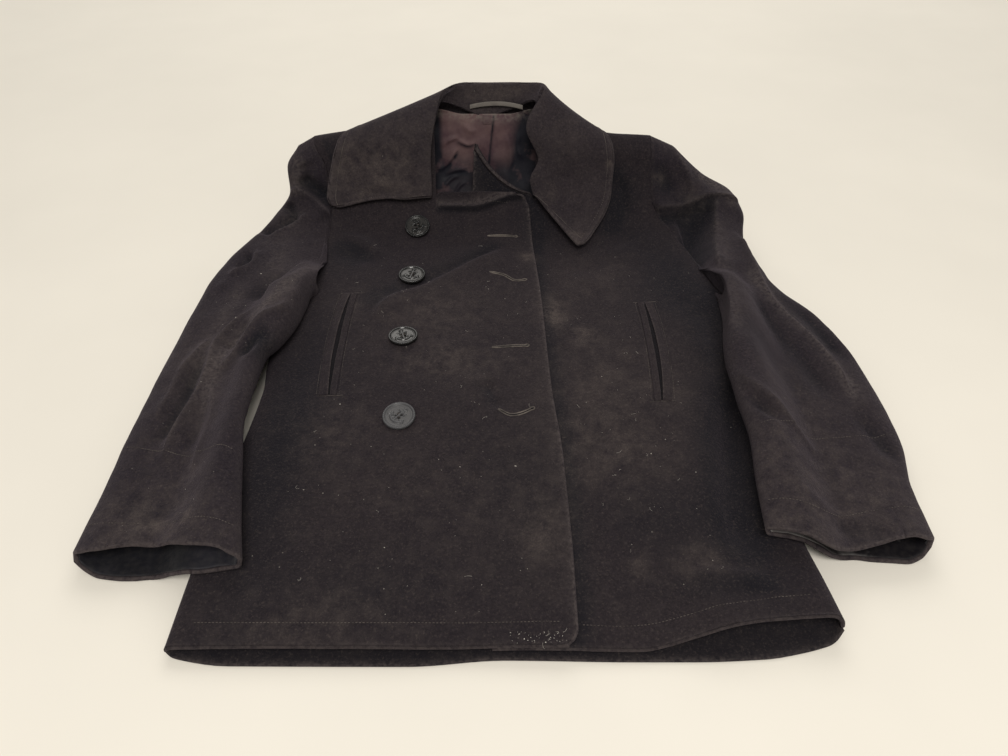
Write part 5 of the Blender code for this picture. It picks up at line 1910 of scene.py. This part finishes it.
@dataclass(frozen=True)
class Pocket:
    """Upright pocket: a slit between two narrow welts, with a stitched bar across each end."""

    side: Side
    top: tuple[float, float]
    bottom: tuple[float, float]
    bow: float
    welt_outer: float
    welt_inner: float
    gap: float = 0.0046
    rise: float = 0.0021
    tack: float = 0.016
    cloth: float = 0.0016
    stand: float = 0.0009
    flat: tuple[float, float] = (0.014, 0.19)

    def at(self, share: Array, off: Array) -> tuple[Array, Array]:
        """x and s at shares of the way down the slit, and off to the coat's side."""
        x = self.top[0] + (self.bottom[0] - self.top[0]) * share + self.bow * 4 * share * (1 - share)
        return x + off, self.top[1] + (self.bottom[1] - self.top[1]) * share + 0 * off

    def welt(self, surface: Surface, outward: float, width: float) -> Mesh:
        """One welt: a strip that swells at its fold beside the slit and tapers towards its ends."""
        share, u = grid(np.linspace(0, 1, 90), np.linspace(0, 1, 14))
        taper = np.sqrt(np.clip(1 - (2 * share - 1) ** 8, 0, 1))
        mouth = self.gap / 2 * (0.30 + 0.70 * np.sin(math.pi * share))
        x, s = self.at(share, outward * (mouth + width * u))
        swell = self.rise * (0.35 + 0.65 * bell(u - 0.12, 0.35)) - 0.0007 * bell(u - 0.72, 0.10)
        base, _, _, normal = frame_on(surface, x, s)
        points = base + normal * (self.stand + swell * taper)[..., None]
        quads = quads_of(*x.shape)
        if outward > 0:
            quads = quads[:, ::-1]
        marks = marks_of(0.08, 0.9 * bell(u, 0.12))
        return Mesh.shell(points.reshape(-1, 3), quads, marks, self.cloth, rim=4)

    def build(self, surface: Surface, wardrobe: Wardrobe) -> list[Mesh]:
        """The welts, the dark mouth of painted shade in the slit, and the stitches, which are returned."""
        word = self.side.word
        widths = {"side": (self.side.out, self.welt_outer), "front": (-self.side.out, self.welt_inner)}
        for place, (outward, width) in widths.items():
            node = f"welt_{word}_{place}"
            mesh = self.welt(surface, outward, width)
            piece = mesh.make(node, wardrobe.wool["welt"], "wool_welt", [node])
        share = np.linspace(0.01, 0.99, 60)
        x, s = self.at(share, 0 * share)
        centre, _, _, normal = frame_on(surface, x, s)
        # near-black strip in the slit: painted shade for the pocket's shadowed inside
        mouth = tube(centre + normal * 0.0002, self.gap * 0.62, sides=8, flat=0.22, up=normal)
        mouth.make(f"pocket_mouth_{word}", wardrobe.dark, "wool_welt")
        rows = []
        fine = Stitching(length=0.0018, pitch=0.0026, thick=0.00032)
        for outward, width in widths.values():
            t = np.linspace(0.02, 0.98, 6)
            x, s = self.at(t, 0 * t + outward * (width + self.gap / 2 + 0.0012))
            rows.append(fine.row(surface, list(zip(x, s))))
        for share_end in (0.0, 1.0):
            x, s = self.at(np.array([share_end]), np.zeros(1))
            shares = (-0.8, 0.0, 0.9)
            ends = [(float(x[0]) + d * self.tack, float(s[0]) + 0.05 * d * self.tack) for d in shares]
            rows.append(Stitching(length=0.0024, pitch=0.0019, thick=0.00045).row(surface, ends))
        return rows


@dataclass(frozen=True)
class Button:
    """Moulded button: a raised rim, a sunken face with a plain anchor in relief, and four sewn holes.

    Its face is a height over a disc: the dish, plus a round rim, plus the anchor wherever the distance to
    its lines is small, less the four holes.
    """

    radius: float = 0.0175
    thick: float = 0.0045
    dish: float = 0.0013
    relief: float = 0.0011
    hole: float = 0.0011
    pitch: float = 0.0031
    turn: float = 0.0

    def lines(self) -> tuple[tuple[float, float, float, float, float], ...]:
        """Straight strokes of the anchor, as ends and half-width in shares of the radius."""
        return (
            (0.0, 0.52, 0.0, -0.50, 0.075),
            (-0.30, 0.34, 0.30, 0.34, 0.060),
            (-0.50, -0.10, -0.60, -0.34, 0.065),
            (0.50, -0.10, 0.60, -0.34, 0.065),
            (-0.50, -0.10, -0.30, -0.24, 0.055),
            (0.50, -0.10, 0.30, -0.24, 0.055),
        )

    def anchor(self, x: Array, y: Array) -> Array:
        """1 on the anchor and 0 off it, from the distance to its strokes, arms and ring."""
        gap = np.full(x.shape, 1.0)
        for x0, y0, x1, y1, half in self.lines():
            run = np.array([x1 - x0, y1 - y0])
            t = np.clip(((x - x0) * run[0] + (y - y0) * run[1]) / (run @ run), 0, 1)
            gap = np.minimum(gap, np.hypot(x - x0 - t * run[0], y - y0 - t * run[1]) - half)
        arms = np.abs(np.hypot(x, y + 0.04) - 0.50) - 0.070
        gap = np.minimum(gap, np.where(y < -0.14, arms, 1.0))
        gap = np.minimum(gap, np.abs(np.hypot(x, y - 0.62) - 0.10) - 0.045)
        rope = np.abs(x - 0.26 * np.sin(5.2 * y + 0.9)) - 0.050
        gap = np.minimum(gap, np.where(np.abs(y) < 0.52, rope, 1.0))
        return smooth(0.5 - gap / 0.07)

    def height(self, r: Array, angle: Array) -> Array:
        """Height of the face over the button's underside, for shares of the radius and angles."""
        x, y = r * np.cos(angle), r * np.sin(angle)
        top = self.thick - self.dish * smooth((0.90 - r) / 0.10)
        top = top + 0.00035 * np.sin(angle * 44 + 26 * r) * bell(r - 0.945, 0.035)
        top = top - self.thick * 0.30 * smooth((r - 0.955) / 0.045) ** 2
        top = top + 0.00025 * bell(r - 0.76, 0.025)
        top = top + self.relief * self.anchor(x / 0.92, y / 0.92) * smooth((0.80 - r) / 0.06)
        for k in range(4):
            turn = math.pi / 4 + k * math.pi / 2
            away = self.pitch / self.radius
            far = np.hypot(x - away * math.cos(turn), y - away * math.sin(turn))
            top = top - 0.0034 * smooth(1.6 - far / (self.hole / self.radius))
        return top

    def mesh(self) -> Mesh:
        """Closed disc: the face from its middle to the rim, then round the edge to the middle beneath."""
        around = 132
        angle = 2 * math.pi * np.arange(around) / around
        face = np.concatenate([np.linspace(0.004, 0.90, 60), np.linspace(0.912, 1.0, 9)])
        r, a = grid(face, angle)
        z = self.height(r, a)
        under_r = np.array([0.985, 0.93, 0.80, 0.40, 0.004])
        under_z = np.array([0.0016, 0.0007, 0.0001, 0.0, 0.0])
        r2, a2 = grid(under_r, angle)
        z2 = np.broadcast_to(under_z[:, None], r2.shape)
        r, a, z = np.concatenate([r, r2]), np.concatenate([a, a2]), np.concatenate([z, z2])
        reach, turn = r * self.radius, a + self.turn
        points = np.stack([reach * np.cos(turn), reach * np.sin(turn), z], -1)
        quads = quads_of(*r.shape, closed=True)[:, ::-1]
        k = np.arange(1, around - 2, 2)
        first = np.stack([0 * k, k, k + 1, k + 2], -1)
        base = (len(r) - 1) * around
        last = np.stack([base + 0 * k, base + k + 2, base + k + 1, base + k], -1)
        dust = smooth((self.thick - 0.0006 - z) / 0.0012)
        on_face = (np.arange(len(r)) < len(face))[:, None]
        return Mesh(points.reshape(-1, 3), np.concatenate([quads, first, last]), marks_of(dust * on_face))

    def threads(self) -> Mesh:
        """Two parallel bars of thread across the holes, each of three strands."""
        bars = []
        reach = self.pitch * math.cos(math.pi / 4)
        for y in (-reach, reach):
            for k in (-1, 0, 1):
                t = np.linspace(-1, 1, 13)
                z = self.thick - self.dish + 0.0006 * (1 - t**4) - 0.0016 * t**8
                path = np.stack([t * reach * 1.12, 0 * t + y + k * 0.00042, z], -1)
                bars.append(tube(path, 0.00030, sides=6))
        return Mesh.join(bars)


@dataclass(frozen=True)
class ButtonRow:
    """The four buttons on the overlap, each on its node's place, tilt and height."""

    places: tuple[tuple[float, float, float, float], ...] = (
        (-0.122, 0.632, 10.0, 0.0008),
        (-0.121, 0.512, 3.0, 0.0004),
        (-0.120, 0.384, -3.0, 0.0004),
        (-0.111, 0.250, 9.0, 0.0014),
    )
    turns: tuple[float, ...] = (0.5, -0.2, 0.35, -0.75)
    sag: float = 0.004
    seam: float = 0.0003

    def build(self, front: Front, wardrobe: Wardrobe) -> None:
        """The buttons and their threads."""
        for i, (x, s, tilt, sink) in enumerate(self.places):
            button = Button(turn=self.turns[i])
            slope = float(np.interp(s, BEND_S, BEND_SLOPE))
            angle = slope + math.radians(tilt)
            tipped = button.radius * abs(math.sin(math.radians(tilt)))
            rise = 2 * self.seam - sink + tipped + self.sag * math.sin(slope)
            x, s = np.array(x), np.array(s)
            face = BODY.face(x, s, Leaf.FRONT)
            actual = front.surface(x[None], s[None])[0]
            lift = max(0.0, float(actual[2] - lay(x, s, face)[2]))
            flat, steep = math.cos(angle), math.sin(angle)
            turn = np.array([[1, 0, 0], [0, flat, steep], [0, -steep, flat]])
            place = lay(x, s, face + rise)
            place = place + turn[2] * lift
            for mesh, name, finish, nodes in (
                (button.mesh(), f"button_{i + 1}", wardrobe.buttons[i], [f"button_{i + 1}"]),
                (button.threads(), f"button_thread_{i + 1}", wardrobe.thread, []),
            ):
                mesh.points = mesh.points @ turn + place
                mesh.make(name, finish, "button_black", nodes)


@dataclass(frozen=True)
class NeckTrim:
    """Hanger loop and the small plain patch inside the back of the neck."""

    loop_x: float = -0.011
    loop_s: float = 0.8325
    loop_n: float = 0.0066
    loop_length: float = 0.074
    patch_x: float = -0.030
    patch_s: float = 0.809
    patch_size: float = 0.012
    patch_cloth: float = 0.0006
    loop_width: float = 0.0064
    loop_cloth: float = 0.0014

    def build(self, back: Back, wardrobe: Wardrobe) -> None:
        """The loop, bowed towards the collar with its ends sewn down, and the patch."""
        t, u = grid(np.linspace(-1, 1, 70), np.linspace(-0.5, 0.5, 9))
        x = self.loop_x + t * self.loop_length / 2
        s = self.loop_s + 0.0045 * (1 - t**2) + u * self.loop_width
        n = self.loop_n + 0.006 * np.clip(t, 0, 1) ** 2 + 0.0012 * (1 - t**2) + self.loop_cloth
        n = n - 0.0005 * (2 * u) ** 4
        marks = marks_of(0.4 + 0 * t)
        mesh = Mesh.shell(lay(x, s, n).reshape(-1, 3), quads_of(*x.shape)[:, ::-1], marks, self.loop_cloth)
        loop = mesh.make("hanger_loop", wardrobe.loop, "hanger_cloth", ["hanger_loop"])
        t, u = grid(np.linspace(0, 1, 14), np.linspace(0, 1, 14))
        x, s = self.patch_x + self.patch_size * u, self.patch_s + self.patch_size * t
        points = lay(x, s, back.lining_height(x, s) + 0.0009)
        # a fifth of each mark: a little dust grey, and a little of the lining's painted shade
        marks = np.full((x.size, 3), 0.2)
        mesh = Mesh.shell(points.reshape(-1, 3), quads_of(*x.shape), marks, self.patch_cloth, rim=2)
        patch = mesh.make("neck_patch", wardrobe.satin, "satin_back")


@dataclass(frozen=True)
class Lint:
    """White specks, fibres and hairs caught in the nap."""

    seed: int = 12
    specks: int = 210
    hairs: int = 64

    def scatter(self, surface: Surface, box: tuple[float, float, float, float], specks: int, hairs: int,
                seed: int) -> list[Mesh]:
        """Specks as small flat beads and hairs as thin curled tubes, at seeded places in a box of x and s."""
        draw = np.random.default_rng(seed)
        x0, x1, s0, s1 = box
        x, s = draw.uniform(x0, x1, specks), draw.uniform(s0, s1, specks)
        place, across, up, normal = frame_on(surface, x, s)
        turn = draw.uniform(0, math.pi, specks)[:, None]
        along = across * np.cos(turn) + up * np.sin(turn)
        axes = np.stack([along, np.cross(normal, along), normal], axis=1)
        size = draw.uniform(0.00012, 0.00030, specks) * (1 + 1.2 * (draw.random(specks) > 0.93))
        sizes = np.stack([size * draw.uniform(1.0, 2.4, specks), size, size * 0.5], -1)
        meshes = [repeat(bead(), place + normal * 0.0002, axes, sizes)]
        for _ in range(hairs):
            x, s = draw.uniform(x0, x1), draw.uniform(s0, s1)
            t = np.linspace(0, 1, 13)
            heading = draw.uniform(0, 2 * math.pi) + draw.normal(0, 1.6) * t + draw.normal(0, 1.2) * t**2
            length = draw.uniform(0.002, 0.008)
            hx = x + np.cumsum(np.cos(heading)) * length / 13
            hs = s + np.cumsum(np.sin(heading)) * length / 13
            place, _, _, normal = frame_on(surface, hx, hs)
            meshes.append(tube(place + normal * 0.0003, 0.00009, sides=6, up=normal))
        return meshes


@dataclass
class Coat:
    """The whole coat, piece by piece."""

    wardrobe: Wardrobe = field(default_factory=Wardrobe)
    hem_allowance: float = 0.022

    def __post_init__(self) -> None:
        """Sets out the sub-assemblies."""
        self.overlap = Front(Side.RIGHT, "front_overlap", "wool_overlap", (50, 46), (0.40, 0.82), 0.262)
        self.underlap = Front(Side.LEFT, "front_underlap", "wool_underlap", (58, 30), (0.40, 0.82), 0.262)
        self.back = Back()
        self.collar = Collar()
        self.right = Sleeve(Side.RIGHT, SLEEVE_RIGHT_TABLE, RIGHT_SLEEVE_CREASES, (0.26, 0.64), 0.126,
                            (0.22, 0.66), 0.112, 71, MOUTH_RIGHT_TABLE, lean=0.0035)
        self.left = Sleeve(Side.LEFT, SLEEVE_LEFT_TABLE, LEFT_SLEEVE_CREASES, (0.26, 0.64), 0.126,
                           (0.22, 0.66), 0.112, 81, MOUTH_LEFT_TABLE)

    def build(self) -> None:
        """Builds every piece."""
        cloth = self.wardrobe.wool
        self.back.build(cloth["back"], self.wardrobe.satin)
        self.overlap.build(cloth["overlap"])
        self.underlap.build(cloth["underlap"])
        self.right.build(self.wardrobe)
        self.left.build(self.wardrobe)
        self.collar.build(cloth["collar"])
        NeckTrim().build(self.back, self.wardrobe)
        ButtonRow().build(self.overlap, self.wardrobe)
        self.build_pockets_and_seams()
        self.build_buttonholes()
        self.build_lint()

    def build_pockets_and_seams(self) -> None:
        """Pockets, and all the dark stitching of the body, cuffs and collar."""
        over, under = self.overlap.surface, self.underlap.surface
        right = Pocket(Side.RIGHT, (-0.195, 0.474), (-0.192, 0.286), -0.004, 0.0105, 0.0075)
        left = Pocket(Side.LEFT, (0.178, 0.463), (0.173, 0.281), 0.004, 0.0105, 0.0080)
        rows = right.build(over, self.wardrobe) + left.build(under, self.wardrobe)
        stitch = Stitching()
        for surface, stations in (
            (over, (-0.262, -0.20, -0.12, -0.04, 0.02, 0.046)),
            (under, (0.068, 0.11, 0.15, 0.19, 0.23, 0.262)),
        ):
            hem = [(x, float(HEM_TABLE.at("front", x)) + self.hem_allowance) for x in stations]
            rows.append(stitch.row(surface, hem))
        rows.append(stitch.row(over, [(-0.092, 0.6915), (-0.050, 0.6912), (0.004, 0.6905)]))
        t = np.linspace(0.012, 0.988, 230)
        rows.append(self.collar_row(t, 0 * t + 0.945))
        u = np.linspace(0.42, 0.945, 46)
        rows.append(self.collar_row(0 * u + 0.012, u))
        rows.append(self.collar_row(0 * u + 0.988, u))
        for sleeve in (self.right, self.left):
            for back, turns in ((1.95, (0.06, 0.92)), (0.55, (0.04, 0.96))):
                turn = np.linspace(*turns, 52)
                along = 0 * turn + sleeve.count - back
                step = 0.004
                place = sleeve.top_surface(turn, along)
                a = sleeve.top_surface(turn + step, along) - place
                b = sleeve.top_surface(turn, along + step * 8) - place
                normal = unit(np.cross(a, b))
                normal = normal * np.sign(normal[:, 2:3])
                rows.append(stitch.on(place, normal))
        Mesh.join(rows).make("stitching", self.wardrobe.thread, "wool_overlap")

    def collar_row(self, around: Array, across: Array) -> Mesh:
        """Stitches along the collar."""
        place = self.collar.surface(around, across)
        return Stitching().on(place, unit(place - self.collar.middle(around, across)))

    def build_buttonholes(self) -> None:
        """Four worked buttonholes near the overlap's free edge."""
        holes = (
            ((-0.023, 0.6145), (-0.002, 0.6150), (0.019, 0.6130)),
            ((-0.019, 0.5190), (0.000, 0.5150), (0.014, 0.5040), (0.030, 0.5060)),
            ((-0.014, 0.3680), (0.006, 0.3700), (0.030, 0.3705)),
            ((-0.006, 0.2640), (0.006, 0.2560), (0.018, 0.2580), (0.033, 0.2670)),
        )
        lips, slits = zip(*(Buttonhole(path).build(self.overlap.surface) for path in holes))
        Mesh.join(lips).make("buttonhole_edges", self.wardrobe.pale, "wool_overlap")
        Mesh.join(slits).make("buttonhole_slits", self.wardrobe.dark, "wool_overlap")

    def build_lint(self) -> None:
        """Specks and fibres on the fronts and sleeves, and the chalky flakes on the overlap's hem."""
        lint = Lint()
        over, under = self.overlap.surface, self.underlap.surface
        meshes = lint.scatter(over, (-0.21, 0.03, 0.05, 0.60), 95, 26, 12)
        meshes += lint.scatter(under, (0.075, 0.20, 0.05, 0.54), 70, 20, 13)
        meshes += lint.scatter(over, (0.004, 0.050, 0.002, 0.012), 46, 4, 14)
        for sleeve, seed in ((self.right, 15), (self.left, 16)):
            meshes += lint.scatter(sleeve.top_surface, (0.15, 0.75, 3.0, sleeve.count - 0.3), 40, 8, seed)
        Mesh.join(meshes).make("lint", self.wardrobe.lint, "wool_overlap")


@dataclass(frozen=True)
class Studio:
    """Pale floor, soft light and the camera."""

    lens: float = 27.04
    height: float = 0.60
    back_off: float = 0.318
    pitch: float = 42.0

    def build(self) -> None:
        """Makes the floor, the lights and the camera."""
        bpy.ops.mesh.primitive_plane_add(size=12.0, location=(0.0, 0.0, 0.0))
        floor = bpy.context.active_object
        floor.name = "floor"
        floor.data.transform(floor.matrix_world)
        floor.matrix_world.identity()
        floor.data.materials.append(Floor("floor_pale").make())
        self.light("key", (0.1, -1.7, 2.4), (0.0, 0.0, 0.0), 1.2, 54.0, (1.0, 0.965, 0.91))
        self.light("far", (0.0, 3.4, 2.8), (0.0, 3.4, 0.0), 3.6, 84.0, (1.0, 0.97, 0.92))
        world = bpy.data.worlds.new("soft_room")
        bpy.context.scene.world = world
        world.use_nodes = True
        shade = world.node_tree.nodes["Background"]
        shade.inputs["Color"].default_value = (1.0, 0.965, 0.905, 1.0)
        shade.inputs["Strength"].default_value = 0.44
        bpy.context.scene.view_settings.view_transform = "Standard"
        data = bpy.data.cameras.new("camera")
        data.lens = self.lens
        data.sensor_width = 36.0
        data.clip_start = 0.01
        camera = bpy.data.objects.new("camera", data)
        bpy.context.scene.collection.objects.link(camera)
        camera.location = (-CENTRE_X, -self.back_off - CENTRE_Y, self.height)
        camera.rotation_euler = (math.radians(90.0 - self.pitch), 0.0, 0.0)
        bpy.context.scene.camera = camera

    def light(self, name: str, place: tuple[float, float, float], at: tuple[float, float, float], size: float,
              power: float, colour: tuple[float, float, float]) -> None:
        """One large soft square light that faces a point."""
        data = bpy.data.lights.new(name, "AREA")
        data.size = size
        data.energy = power
        data.color = colour
        lamp = bpy.data.objects.new(name, data)
        bpy.context.scene.collection.objects.link(lamp)
        lamp.location = place
        lamp.rotation_euler = (Vector(at) - Vector(place)).to_track_quat("-Z", "Y").to_euler()


def main() -> None:
    """Builds the studio and the coat."""
    logging.basicConfig(level=logging.INFO, format="%(name)s: %(message)s")
    Studio().build()
    Coat().build()


if __name__ == "__main__":
    main()
